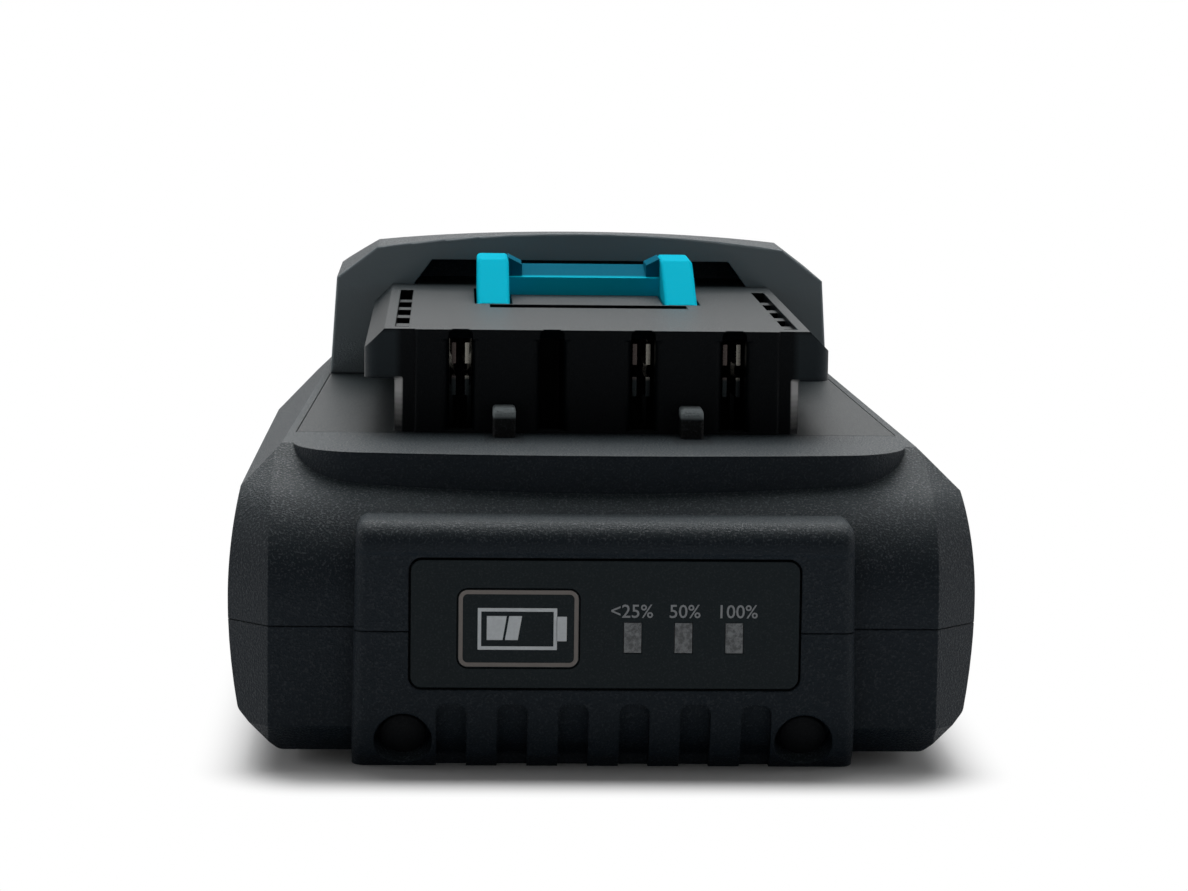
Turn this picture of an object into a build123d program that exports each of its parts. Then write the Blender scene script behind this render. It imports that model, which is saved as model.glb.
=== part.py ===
from build123d import *
import os
from math import cos, radians, sin, tan

# Slide-on battery pack for a cordless vacuum cleaner. Five round cells lie side by side across
# the pack, in a frame between a lower and an upper shell. A plate with two T rails, four contact
# slots and a spring latch tops it, and a bumper with a charge indicator closes its front.
#
# X runs across the pack, Y from the bumper to the rear and Z up. The origin lies on the ground,
# at the middle of the width and of the length. All sizes are in millimetres.

# How far a cut runs past a surface, and how near an edge lies to the place it is picked by
CUT_MARGIN = 1.0
NEAR = 0.1

# Cells
CELL_COUNT = 5
CELL_DIAMETER = 18.4
CELL_LENGTH = 65.2
CELL_GAP = 0.2
CELL_EDGE = 0.6
CELL_PLAY = 0.08
BUTTON_TOP_DIAMETER = 8.0
BUTTON_TOP_HEIGHT = 0.7
CRIMP_DEPTH = 0.5
CRIMP_WIDTH = 1.2
CRIMP_PLACE = 3.2

# Cell frames
FRAME_RIM = 0.9
FRAME_REACH = 23.4
FRAME_OVERHANG = 1.8
FRAME_WINDOW = 12.0
STANDOFF_HEIGHT = 1.4
STANDOFF_DIAMETER = 5.0
STANDOFF_PIN = 2.4
STANDOFF_INSET = 3.6

# Strips between the cells
STRIP_WIDTH = 8.0
STRIP_THICKNESS = 0.25
STRIP_LANDING = 5.6

# Room inside the shells, and their walls
SHELL_WALL = 2.2
SEAT_GAP = 0.2
FIT = 0.3
GAUGE_ROOM = 7.2
REAR_ROOM = 6.6
END_ROOM = 2.4
PART_ROOM = 2.2

# Outer form of the body
BELLY_Z = 1.0
SIDE_BULGE = 1.1
BILGE = 4.2
SHOULDER_FRONT = 3.3
SHOULDER_REAR = 6.9
FRONT_FACET = 4.3
REAR_FACET = 7.0
NOSE_TURN = 16.8
NOSE_RADIUS = 11.5
RAMP_ANGLE = 23.0
CHIN = 3.0
BODY_EDGE = 1.2
SPLIT_RISE = 0.8
SEAM_GAP = 0.1
LIP_HEIGHT = 1.2
LIP_PLAY = 0.1
REST_PAD_LENGTH = 9.0
REST_PAD_WIDTH = 12.0
REST_PAD_PLACE = 17.0

# Raised slab at the front of the deck
SLAB_START = 9.4
SLAB_LENGTH = 38.0
SLAB_RADIUS = 200.0
SLAB_CORNER = 8.0
SLAB_INSET = 0.3

# Bumper
BUMPER_DEPTH = 3.0
BUMPER_WIDTH = 50.2
BUMPER_FLARE = 0.45
BUMPER_TOP_DROP = 5.65
BUMPER_TOP_RADIUS = 2.4
BUMPER_FACE_SETBACK = 0.35
BUMPER_EDGE = 1.2
BUMPER_BEAD = 0.5
BUMPER_CURL = 1.4
BUMPER_CURL_HEIGHT = 7.5
BUMPER_FOOT = 12.0
GROOVE_COUNT = 6
GROOVE_PITCH = 6.17
GROOVE_WIDTH = 3.05
GROOVE_TOP = 6.9
GROOVE_DEPTH = 1.1
PLUG_DIAMETER = 4.6
PLUG_POCKET_DIAMETER = 5.9
PLUG_POCKET_DEPTH = 3.0
PLUG_TILT = 25.0
PLUG_RECESS = 0.5
PLUG_DOME = 0.8
PLUG_INSET = 4.8
PLUG_HEIGHT = 2.9

# Charge indicator
PANEL_WIDTH = 39.1
PANEL_HEIGHT = 13.0
PANEL_SILL = 8.6
PANEL_THICKNESS = 1.4
PANEL_GAP = 0.25
PANEL_CORNER = 1.1
PANEL_LEDGE = 1.2
KEY_WIDTH = 12.2
KEY_HEIGHT = 7.96
KEY_CENTRE_X = -8.73
KEY_RISE = 0.43
KEY_GAP = 0.12
KEY_CORNER = 1.0
KEY_FLANGE = 0.5
KEY_STEM = 3.0
KEY_TRAVEL = 0.4
WINDOW_COUNT = 3
WINDOW_WIDTH = 1.75
WINDOW_HEIGHT = 3.06
WINDOW_PITCH = 5.12
WINDOW_FIRST_X = 2.78
WINDOW_DROP = 1.33
PIPE_BAR = 1.5
PIPE_GAP = 0.05
LED_HEIGHT = 0.8
LED_WIDTH = 1.6
GAUGE_BOARD_THICKNESS = 1.0
GAUGE_BOARD_WIDTH = 36.0
GAUGE_BOARD_HEIGHT = 13.4
GAUGE_BOARD_GAP = 2.6
GAUGE_BOARD_RISE = 3.4
GAUGE_POST_WALL = 1.0
GAUGE_POST_WIDTH = 2.6
GAUGE_POST_PLAY = 0.15
TACT_SIZE = 6.0
TACT_HEIGHT = 3.0
PLUNGER_DIAMETER = 3.0
PLUNGER_PROUD = 1.0
PLUNGER_DEPTH = 1.2
PLUNGER_CLEARANCE = 0.05
RIBBON_WIDTH = 6.0
RIBBON_THICKNESS = 0.25
RIBBON_BEND = 1.5
RIBBON_LAP = 5.0

# Housing screws
SCREW_X = 28.4
SCREW_SHANK = 2.5
SCREW_HEAD = 4.2
SCREW_HEAD_HEIGHT = 1.8
SCREW_LENGTH = 15.0
SCREW_SEAT_DEPTH = 5.4
BOSS_WALL = 1.3
SCREW_CLEARANCE = 0.05

# Rail plate
SEAM_START = 27.5
PLATE_THICKNESS = 1.2
PLATE_MARGIN = 0.9
PLATE_GAP = 0.1
OPENING_MARGIN = 0.7
RAIL_SETBACK = 0.7
WEB_WIDTH = 43.5
WEB_CHAMFER = 0.9
WEB_WALL = 3.05
RAIL_WIDTH = 50.0
RAIL_UNDERSIDE = 5.75
RAIL_TOP = 11.1
RAIL_CHAMFER = 2.15
RAIL_NOSE_RADIUS = 1.6
TOWER_WIDTH = 39.2
TOWER_PROUD = 0.5
TOWER_WALL = 2.0
TOWER_ROOF = 1.1
ROOF_THICKNESS = 2.2
SLOT_COUNT = 4
SLOT_PITCH = 9.79
SLOT_WIDTH = 2.65
SLOT_SILL = 0.2
SLOT_MOUTH = 0.9
SLOT_LEAD = 0.7
SLOT_CORNER = 0.8
CHANNEL_INSET = 4.0
CHANNEL_WIDTH = 1.5
CHANNEL_DEPTH = 0.6
CHANNEL_START = 2.3
POCKET_COUNT = 5
POCKET_PITCH = 9.6
POCKET_LENGTH = 6.4
POCKET_DEPTH = 2.0
POST_SPACING = 20.0
POST_WIDTH = 2.45
POST_LENGTH = 4.0
POST_FRONT_HEIGHT = 2.2
POST_HEIGHT = 3.1
POST_EDGE = 0.4

# Contacts and their holder
HOLDER_DEPTH = 21.5
HOLDER_SLOT_EXTRA = 0.3
HOLDER_SILL = 2.0
HOLDER_SILL_DEPTH = 3.0
HOLDER_BACK = 2.0
CONTACT_SLOTS = (0, 2, 3)
CONTACT_THICKNESS = 0.45
CONTACT_PINCH = 0.42
CONTACT_FLARE = 0.72
CONTACT_SPREAD = 1.0
CONTACT_REACH = 17.4
CONTACT_BASE = 6.0
CONTACT_START = 1.1
CONTACT_PINCH_PLACE = 3.6
FINGER_LOW = 3.6
FINGER_LOW_HEIGHT = 2.1
FINGER_HIGH = 7.05
FINGER_HIGH_HEIGHT = 2.25

# Main board and what it carries
BOARD_THICKNESS = 1.6
BOARD_WIDTH = 54.0
BOARD_FRONT = 7.0
BOARD_BACK = 5.0
SPRING_HOLE = 8.0
TRANSISTOR_COUNT = 4
TRANSISTOR_SIZE = 6.4
TRANSISTOR_HEIGHT = 2.0
TRANSISTOR_PITCH = 8.4
CHIP_SIZE = 7.0
CHIP_HEIGHT = 1.2
SHEET_THICKNESS = 0.2
BEAD_DIAMETER = 2.0
BEAD_LEG = 0.4

# Rear hood
HOOD_DEPTH = 30.0
HOOD_SETBACK = 2.0
HOOD_INSET = 0.8
HOOD_LEAN = 0.75
HOOD_SIDE = 11.8
HOOD_CORNER_WIDTH = 4.95
HOOD_CORNER_HEIGHT = 3.8
HOOD_CROWN = 1.8
HOOD_BOW = 0.9
HOOD_BROW = 0.5
HOOD_DROP = 5.0
HOOD_BACK_RADIUS = 5.0
HOOD_WALL = 2.2
HOOD_EDGE = 0.3
MOUTH_WIDTH = 40.6
MOUTH_CORNER_WIDTH = 2.2
MOUTH_CORNER_HEIGHT = 3.0
MOUTH_DEPTH = 12.0
PARTITION = 2.0
TUNNEL_WALL = 1.8

# Latch
LATCH_TRAVEL = 5.0
LATCH_GAP = 0.3
LATCH_STOP_GAP = 0.25
LUG_REACH = 25.6
LUG_LENGTH = 19.6
LUG_RAMP = 10.6
LUG_SPACING = 21.7
LUG_WIDTH = 3.75
LUG_HEIGHT = 4.3
LUG_ROUNDING = 1.6
LUG_EDGE = 0.5
BAR_DEPTH = 7.4
BAR_FRONT_HEIGHT = 2.05
BAR_REAR_HEIGHT = 3.1
GUSSET = 1.6
DISH_DEPTH = 0.35
DISH_WIDTH = 22.6
DISH_LENGTH = 4.5
LATCH_PLATE_WIDTH = 33.0
LATCH_PLATE_THICKNESS = 2.5
LATCH_PLATE_DROP = 4.6
GUIDE_THICKNESS = 1.6
BUTTON_WIDTH = 21.0
BUTTON_TOP_DROP = 1.9
BUTTON_SLOPE = 1.2
BUTTON_FALL = 2.0
BUTTON_SKIRT = 4.4
BUTTON_WALL = 1.5
BUTTON_LIP = 2.2
BUTTON_LIP_HEIGHT = 3.0
GRIP_COUNT = 4
GRIP_PITCH = 2.2
GRIP_HEIGHT = 0.5
SHAFT_WALL = 1.5
SPRING_ROOM = 1.25
SPRING_PLACE = 5.0
SPRING_MEAN_DIAMETER = 5.2
SPRING_WIRE = 0.7
SPRING_TURNS = 5
SPRING_SIDES = 6
SPRING_PIN = 3.4
SPRING_PIN_HEIGHT = 1.6

# Places worked out from the sizes above
cell_radius = CELL_DIAMETER / 2
cell_step = CELL_DIAMETER + CELL_GAP
cells_span = CELL_COUNT * CELL_DIAMETER + (CELL_COUNT - 1) * CELL_GAP
LENGTH = BUMPER_DEPTH + 2 * SHELL_WALL + GAUGE_ROOM + cells_span + REAR_ROOM
front_y = -LENGTH / 2
rear_y = LENGTH / 2
nose_y = front_y + BUMPER_DEPTH
cells_y = nose_y + SHELL_WALL + GAUGE_ROOM
hood_y = rear_y - HOOD_DEPTH
hood_back_y = rear_y - HOOD_SETBACK
seam_y = front_y + SEAM_START
rail_y = seam_y + RAIL_SETBACK
tower_y = rail_y - TOWER_PROUD
cavity_y = rail_y + TOWER_WALL

floor_z = BELLY_Z + SHELL_WALL
frame_z = floor_z + SEAT_GAP
cell_z = frame_z + FRAME_RIM + cell_radius
frame_top_z = cell_z + cell_radius + FRAME_RIM
board_z = frame_top_z + STANDOFF_HEIGHT
board_top_z = board_z + BOARD_THICKNESS
roof_z = board_top_z + PART_ROOM
deck_z = roof_z + SHELL_WALL
split_z = cell_z + SPLIT_RISE
seat_z = BELLY_Z + SCREW_SEAT_DEPTH
rail_under_z = deck_z + RAIL_UNDERSIDE
rail_top_z = deck_z + RAIL_TOP
bumper_top_z = deck_z - BUMPER_TOP_DROP
face_y = front_y + BUMPER_FACE_SETBACK
panel_back_y = face_y + PANEL_THICKNESS
panel_z = PANEL_SILL + PANEL_HEIGHT / 2
key_z = panel_z - KEY_RISE
window_z = panel_z - WINDOW_DROP
gauge_y = cells_y - FRAME_RIM - GAUGE_BOARD_GAP
board_front_y = cells_y + BOARD_FRONT
curl_end_y = face_y + 2 * BUMPER_CURL

end_x = CELL_LENGTH / 2
side_x = end_x + END_ROOM + SHELL_WALL
half_width = side_x + SIDE_BULGE
frame_out_x = end_x + FRAME_OVERHANG
frame_in_x = end_x + FRAME_OVERHANG - FRAME_REACH
deck_front_x = side_x - SHOULDER_FRONT
deck_rear_x = side_x - SHOULDER_REAR

hood_top_z = deck_z + HOOD_SIDE + HOOD_CORNER_HEIGHT + HOOD_CROWN
latch_plate_top = rail_top_z - LATCH_PLATE_DROP
latch_plate_low = latch_plate_top - LATCH_PLATE_THICKNESS
lug_y = hood_y - LUG_REACH
lug_back_y = lug_y + LUG_LENGTH
bar_y = lug_back_y - BAR_DEPTH
mouth_back_y = hood_y + MOUTH_DEPTH
shaft_y = mouth_back_y + PARTITION
spring_y = hood_y + SPRING_PLACE
tower_ceiling = rail_top_z - TOWER_ROOF
plate_ceiling = rail_top_z - ROOF_THICKNESS
holder_y = cavity_y + FIT
holder_back_y = holder_y + HOLDER_DEPTH
web_inner_x = WEB_WIDTH / 2 - WEB_WALL
spring_x = web_inner_x - SPRING_ROOM - (SPRING_MEAN_DIAMETER + SPRING_WIRE) / 2
opening_x = web_inner_x + OPENING_MARGIN
tact_y = gauge_y - TACT_HEIGHT
gauge_board_z = floor_z + GAUGE_BOARD_RISE
button_top_z = hood_top_z - HOOD_DROP - BUTTON_TOP_DROP + BUTTON_SLOPE
lip_top_z = button_top_z - BUTTON_SLOPE - BUTTON_FALL
lip_low_z = lip_top_z - BUTTON_LIP_HEIGHT
shaft_low_z = lip_low_z - LATCH_TRAVEL - LATCH_GAP
partition_low_z = latch_plate_top + 2 * LATCH_GAP
shaft_half = BUTTON_WIDTH / 2 + LATCH_GAP


def block(x0, x1, y0, y1, z0, z1):
    """A straight block between two corners."""
    return Pos((x0 + x1) / 2, (y0 + y1) / 2, (z0 + z1) / 2) * Box(x1 - x0, y1 - y0, z1 - z0)


def both_sides(solid):
    """A solid and its mirror image across the pack's middle."""
    return solid + mirror(solid, about=Plane.YZ)


def face_from(*edges):
    """A flat face inside a closed run of edges."""
    return make_face(Curve() + list(edges))


def polygon(*points):
    """A flat face with straight sides."""
    return make_face(Polyline(*points, close=True))


def across(face, x0, x1):
    """Extrudes a face drawn in Y and Z across the pack."""
    return extrude(Plane.YZ.offset(x0) * face, amount=x1 - x0)


def along(face, y0, y1):
    """Extrudes a face drawn in X and Z along the pack."""
    return extrude(Plane.XZ.offset(-y1) * face, amount=y1 - y0)


def upright(face, z0, z1):
    """Extrudes a face drawn in X and Y upwards."""
    return extrude(Pos(0, 0, z0) * face, amount=z1 - z0)


def inwards(face, inset):
    """The same face with its outline moved inwards."""
    if inset == 0:
        return face
    return offset(face, amount=-inset, kind=Kind.INTERSECTION)


def peg(x, y, z0, z1, diameter):
    """An upright round peg."""
    return Pos(x, y, (z0 + z1) / 2) * Cylinder(diameter / 2, z1 - z0)


def deck_half(y):
    """Half the width of the flat deck at a place along the pack."""
    share = (y - front_y) / LENGTH
    return deck_front_x + (deck_rear_x - deck_front_x) * share


def cell_y(number):
    """Place of a cell's axis along the pack, counted from the front."""
    return cells_y + cell_radius + number * cell_step


def slot_x(number):
    """Place of a contact slot across the pack."""
    return (number - (SLOT_COUNT - 1) / 2) * SLOT_PITCH


def screw_places():
    """The four screw axes, as pairs of X and Y."""
    boss = SCREW_SHANK / 2 + BOSS_WALL
    ahead = nose_y + CHIN + SCREW_HEAD / 2 + 2 * FIT
    behind = rear_y - SHELL_WALL - boss - FIT
    return [(x, y) for x in (-SCREW_X, SCREW_X) for y in (ahead, behind)]


def standoff_places(side):
    """Where one frame's standoffs carry the main board."""
    x = side * (BOARD_WIDTH / 2 - STANDOFF_INSET)
    ahead = cell_y(0) + cell_step / 2
    behind = cell_y(CELL_COUNT - 1) - cell_step / 2
    return [(x, ahead), (x, behind)]


def lead_ends():
    """The two free ends of the row of cells, as pairs of side and cell number."""
    last = CELL_COUNT - 1
    return [(1, 0), (1 if last % 2 == 1 else -1, last)]


def body_section():
    """The body seen from the front: flat belly, cut bilges and barrel sides."""
    top_z = deck_z - SHOULDER_FRONT
    right = [
        Line((side_x - BILGE, BELLY_Z), (side_x, BELLY_Z + BILGE)),
        ThreePointArc(
            (side_x, BELLY_Z + BILGE), (half_width, (BELLY_Z + BILGE + top_z) / 2), (side_x, top_z)
        ),
        Line((side_x, top_z), (side_x, deck_z)),
    ]
    left = [mirror(edge, about=Plane.YZ) for edge in right]
    belly = Line((BILGE - side_x, BELLY_Z), (side_x - BILGE, BELLY_Z))
    deck = Line((-side_x, deck_z), (side_x, deck_z))
    section = face_from(belly, deck, *right, *left)
    low_corners = section.vertices().filter_by(lambda v: v.Y < BELLY_Z + BILGE + NEAR)
    return fillet(low_corners, BODY_EDGE)


def body_plan():
    """The body's rear seen from above, with a facet at each corner; the rest runs clear."""
    side = half_width + BODY_EDGE
    right = [
        (side, front_y),
        (side, rear_y - REAR_FACET - BODY_EDGE),
        (half_width - REAR_FACET, rear_y),
    ]
    left = [(-x, y) for x, y in reversed(right)]
    plan = polygon(*right, *left)
    ends = plan.vertices().filter_by(lambda v: abs(v.X) < half_width)
    return fillet(ends, BODY_EDGE)


def ramp_start():
    """Where the nose arc runs out into the ramp, in Y and Z."""
    turn = radians(90 - RAMP_ANGLE)
    return nose_y + NOSE_RADIUS * (1 - cos(turn)), NOSE_TURN + NOSE_RADIUS * sin(turn)


def body_side():
    """The body seen from the side: chin, round nose and ramp up to the deck."""
    ramp_y, ramp_z = ramp_start()
    deck_y = ramp_y + (deck_z - ramp_z) / tan(radians(RAMP_ANGLE))
    half_turn = radians(90 - RAMP_ANGLE) / 2
    middle = (
        nose_y + NOSE_RADIUS * (1 - cos(half_turn)),
        NOSE_TURN + NOSE_RADIUS * sin(half_turn),
    )
    return face_from(
        Line((nose_y + CHIN, BELLY_Z), (nose_y, BELLY_Z + CHIN)),
        Line((nose_y, BELLY_Z + CHIN), (nose_y, NOSE_TURN)),
        ThreePointArc((nose_y, NOSE_TURN), middle, (ramp_y, ramp_z)),
        Line((ramp_y, ramp_z), (deck_y, deck_z)),
        Line((deck_y, deck_z), (rear_y - BILGE, deck_z)),
        Line((rear_y - BILGE, deck_z), (rear_y, deck_z - BILGE)),
        Line((rear_y, deck_z - BILGE), (rear_y, BELLY_Z + BILGE)),
        Line((rear_y, BELLY_Z + BILGE), (rear_y - BILGE, BELLY_Z)),
        Line((rear_y - BILGE, BELLY_Z), (nose_y + CHIN, BELLY_Z)),
    )


def nose_form(inset):
    """The body's side view drawn across it, which slants back beside the nose as a facet."""
    face = inwards(body_side(), inset)
    facet_x = half_width - FRONT_FACET - inset * tan(radians(22.5))
    reach = (FRONT_FACET + SHELL_WALL) * 2**0.5
    facet = extrude(Plane.YZ.offset(facet_x) * face, amount=reach, dir=(1, 1, 0))
    return across(face, -facet_x, facet_x) + both_sides(facet)


def shoulder_waste(inset):
    """What the sloping shoulders leave off, which grows towards the rear."""
    down = Vector(1, 0, -1).normalized()
    back = Vector(deck_rear_x - deck_front_x, LENGTH, 0).normalized()
    outwards = back.cross(down)
    if outwards.Z < 0:
        outwards = outwards * -1
    edge = Vector(deck_front_x, front_y, deck_z) - outwards.normalized() * inset
    plane = Plane(origin=edge, x_dir=back, z_dir=outwards)
    over = plane * Box(4 * LENGTH, LENGTH, LENGTH, align=(Align.CENTER, Align.CENTER, Align.MIN))
    return both_sides(over)


def body_form(inset=0.0):
    """The closed form of the body, or the same form moved inwards."""
    form = along(inwards(body_section(), inset), front_y, rear_y)
    form = form & upright(inwards(body_plan(), inset), 0, deck_z)
    form = form & nose_form(inset)
    return form - shoulder_waste(inset)


def slab_form(inset=0.0):
    """The slab that squares the deck off above the nose, with a bowed front edge."""
    start_y = front_y + SLAB_START
    back_y = start_y + SLAB_LENGTH
    reach = deck_half(back_y) - SLAB_INSET
    corner_y = start_y + SLAB_RADIUS - (SLAB_RADIUS**2 - reach**2) ** 0.5
    plan = face_from(
        ThreePointArc((-reach, corner_y), (0, start_y), (reach, corner_y)),
        Line((reach, corner_y), (reach, back_y)),
        Line((reach, back_y), (-reach, back_y)),
        Line((-reach, back_y), (-reach, corner_y)),
    )
    corners = plan.vertices().filter_by(lambda v: abs(v.Y - corner_y) < NEAR)
    plan = fillet(corners, SLAB_CORNER)
    return upright(inwards(plan, inset), split_z + LIP_HEIGHT, deck_z - inset)


def hood_outline(foot_z):
    """The hood seen from the front: leaning sides, cut corners and a crowned top."""
    foot = deck_half(hood_y) - HOOD_INSET
    corner = foot - HOOD_LEAN
    top = corner - HOOD_CORNER_WIDTH
    side_z = deck_z + HOOD_SIDE
    top_z = side_z + HOOD_CORNER_HEIGHT
    right = [
        Line((foot, foot_z), (foot, deck_z)),
        Line((foot, deck_z), (corner, side_z)),
        Line((corner, side_z), (top, top_z)),
    ]
    left = [mirror(edge, about=Plane.YZ) for edge in right]
    crown = ThreePointArc((-top, top_z), (0, top_z + HOOD_CROWN), (top, top_z))
    return face_from(Line((-foot, foot_z), (foot, foot_z)), crown, *right, *left)


def hood_side(inset, foot_z):
    """The hood seen from the side: its roof falls in a bow to a round back edge."""
    top_z = hood_top_z - inset
    back_y = hood_back_y - inset
    knee_y = back_y - HOOD_BACK_RADIUS
    knee_z = top_z - HOOD_DROP
    brow_z = top_z + HOOD_BROW
    bow = (hood_y + knee_y) / 2, top_z - HOOD_DROP / 2 + HOOD_BOW
    ahead_y = hood_y - HOOD_DEPTH
    side = face_from(
        Line((ahead_y, foot_z), (ahead_y, brow_z)),
        Line((ahead_y, brow_z), (hood_y, brow_z)),
        ThreePointArc((hood_y, brow_z), bow, (knee_y, knee_z)),
        Line((knee_y, knee_z), (back_y, knee_z - HOOD_BACK_RADIUS)),
        Line((back_y, knee_z - HOOD_BACK_RADIUS), (back_y, foot_z)),
        Line((back_y, foot_z), (ahead_y, foot_z)),
    )
    knees = side.vertices().filter_by(lambda v: v.X > knee_y - NEAR and v.Y > deck_z)
    return fillet(knees, HOOD_BACK_RADIUS / 2)


def hood_form(inset=0.0, start=hood_y):
    """The closed form of the hood from a place along the pack to its back."""
    foot_z = deck_z - BILGE
    form = along(inwards(hood_outline(foot_z - inset), inset), start, hood_back_y)
    return form & across(hood_side(inset, foot_z), -half_width, half_width)


def bumper_side(inset=0.0):
    """The bumper seen from the side: beaded top edge and a foot that curls under."""
    face = face_y + inset
    bead = front_y + inset
    top_z = bumper_top_z - inset
    round_z = top_z - BUMPER_TOP_RADIUS
    bead_z = round_z - BUMPER_BEAD
    diagonal = BUMPER_TOP_RADIUS * (1 - cos(radians(45)))
    curl_y = face + BUMPER_CURL
    curl_z = BUMPER_CURL + inset
    back_y = front_y + BUMPER_FOOT
    return face_from(
        Line((face, BUMPER_CURL_HEIGHT), (face, bead_z - BUMPER_BEAD)),
        Line((face, bead_z - BUMPER_BEAD), (bead, bead_z)),
        Line((bead, bead_z), (bead, round_z)),
        ThreePointArc(
            (bead, round_z),
            (bead + diagonal, top_z - diagonal),
            (bead + BUMPER_TOP_RADIUS, top_z),
        ),
        Line((bead + BUMPER_TOP_RADIUS, top_z), (back_y, top_z)),
        Line((back_y, top_z), (back_y, inset)),
        Line((back_y, inset), (curl_y + BUMPER_CURL, inset)),
        Line((curl_y + BUMPER_CURL, inset), (curl_y, curl_z)),
        ThreePointArc(
            (curl_y, curl_z),
            (face + BUMPER_CURL / 4, (BUMPER_CURL_HEIGHT + curl_z) / 2),
            (face, BUMPER_CURL_HEIGHT),
        ),
    )


def bumper_form():
    """The closed form of the bumper, a little wider at its foot."""
    top = BUMPER_WIDTH / 2
    foot = top + BUMPER_FLARE
    outline = polygon((-foot, 0), (foot, 0), (top, bumper_top_z), (-top, bumper_top_z))
    form = along(outline, front_y, front_y + BUMPER_FOOT)
    form = form & across(bumper_side(), -half_width, half_width)
    ends = form.edges().filter_by(
        lambda e: abs(e.center().X) > top - NEAR and e.center().Y < curl_end_y and e.length > NEAR
    )
    return fillet(ends, BUMPER_EDGE)


def grooves():
    """The upright grip grooves low on the bumper, cut to an even depth."""
    shape = Rectangle(GROOVE_WIDTH, 2 * GROOVE_TOP)
    shape = fillet(shape.vertices(), GROOVE_WIDTH / 3)
    cut = along(shape, front_y - CUT_MARGIN, curl_end_y + GROOVE_DEPTH)
    cut = cut - across(bumper_side(GROOVE_DEPTH), -half_width, half_width)
    middle = (GROOVE_COUNT - 1) / 2
    return [Pos((n - middle) * GROOVE_PITCH, 0, 0) * cut for n in range(GROOVE_COUNT)]


def plug_axis(side):
    """A plug's axis, which leans with the curl of the foot and points into the bumper."""
    x = side * (BUMPER_WIDTH / 2 - PLUG_INSET)
    y = face_y + BUMPER_CURL / 2
    lean = radians(PLUG_TILT)
    return Plane(origin=(x, y, PLUG_HEIGHT), x_dir=(1, 0, 0), z_dir=(0, cos(lean), sin(lean)))


def round_bar(diameter, start, end):
    """A round bar along Z."""
    low = (Align.CENTER, Align.CENTER, Align.MIN)
    return Pos(0, 0, start) * Cylinder(diameter / 2, end - start, align=low)


def plug_pocket(side):
    """A round pocket for a plug."""
    return plug_axis(side) * round_bar(PLUG_POCKET_DIAMETER, -BUMPER_DEPTH, PLUG_POCKET_DEPTH)


def plug(side):
    """A plug with a domed front that stands on the floor of its pocket."""
    radius = PLUG_DIAMETER / 2
    rim = PLUG_RECESS + PLUG_DOME
    globe = (radius**2 + PLUG_DOME**2) / (2 * PLUG_DOME)
    body = round_bar(PLUG_DIAMETER, PLUG_RECESS, PLUG_POCKET_DEPTH)
    dome = Pos(0, 0, PLUG_RECESS + globe) * Sphere(globe)
    return plug_axis(side) * ((body & dome) + round_bar(PLUG_DIAMETER, rim, PLUG_POCKET_DEPTH))


def bumper_plugs():
    """The two plugs in the bumper's round pockets."""
    return Compound(children=[plug(-1).solid(), plug(1).solid()])


def panel_face(grow):
    """The indicator panel's outline in X and Z, grown by a gap."""
    shape = Rectangle(PANEL_WIDTH + 2 * grow, PANEL_HEIGHT + 2 * grow)
    return Pos(0, panel_z) * fillet(shape.vertices(), PANEL_CORNER + grow)


def key_face(grow):
    """The switch key's outline in X and Z, grown by a gap."""
    shape = Rectangle(KEY_WIDTH + 2 * grow, KEY_HEIGHT + 2 * grow)
    return Pos(KEY_CENTRE_X, key_z) * fillet(shape.vertices(), KEY_CORNER + grow)


def key_bar(diameter, start, end):
    """A round bar on the switch key's axis."""
    axis = Plane(origin=(KEY_CENTRE_X, 0, key_z), x_dir=(1, 0, 0), z_dir=(0, 1, 0))
    return axis * round_bar(diameter, start, end)


def window_x(number):
    """Place of an indicator window across the pack."""
    return WINDOW_FIRST_X + number * WINDOW_PITCH


def window_block(number, y0, y1, grow):
    """A straight block along a window's line of sight."""
    half_x = WINDOW_WIDTH / 2 + grow
    half_z = WINDOW_HEIGHT / 2 + grow
    x = window_x(number)
    return block(x - half_x, x + half_x, y0, y1, window_z - half_z, window_z + half_z)


def indicator_opening():
    """The recess for the panel and the opening through the wall behind it."""
    recess = along(panel_face(PANEL_GAP), front_y - CUT_MARGIN, panel_back_y)
    half_x = PANEL_WIDTH / 2 - PANEL_LEDGE
    half_z = PANEL_HEIGHT / 2 - PANEL_LEDGE
    back_y = nose_y + 2 * SHELL_WALL
    through = block(-half_x, half_x, front_y, back_y, panel_z - half_z, panel_z + half_z)
    return [recess, through]


def shell_room():
    """The hollow inside the two shells."""
    return body_form(SHELL_WALL) + slab_form(SHELL_WALL)


def seam_lip(play):
    """The band above the split that the lower shell's lip fills, grown by its play."""
    band = body_form(SHELL_WALL / 2 - play)
    top_z = split_z + LIP_HEIGHT + play
    band = band & block(-half_width, half_width, front_y, rear_y, split_z - LIP_HEIGHT, top_z)
    half = PANEL_WIDTH / 2
    return band - block(-half, half, front_y, nose_y + 2 * SHELL_WALL, 0, deck_z)


def screw_post(place, z0, z1, diameter):
    """A round upright post or hole on a screw's axis."""
    return peg(place[0], place[1], z0, z1, diameter)


def lower_bosses(grow):
    """The lower shell's screw bosses: wide round the head, narrow above it."""
    wide = SCREW_HEAD + 2 * BOSS_WALL + 2 * grow
    narrow = SCREW_SHANK + 2 * BOSS_WALL + 2 * grow
    shoulder_z = seat_z + BOSS_WALL + grow
    top_z = split_z - SEAM_GAP / 2
    bosses = [screw_post(place, BELLY_Z, shoulder_z, wide) for place in screw_places()]
    return bosses + [screw_post(place, BELLY_Z, top_z, narrow) for place in screw_places()]


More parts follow.
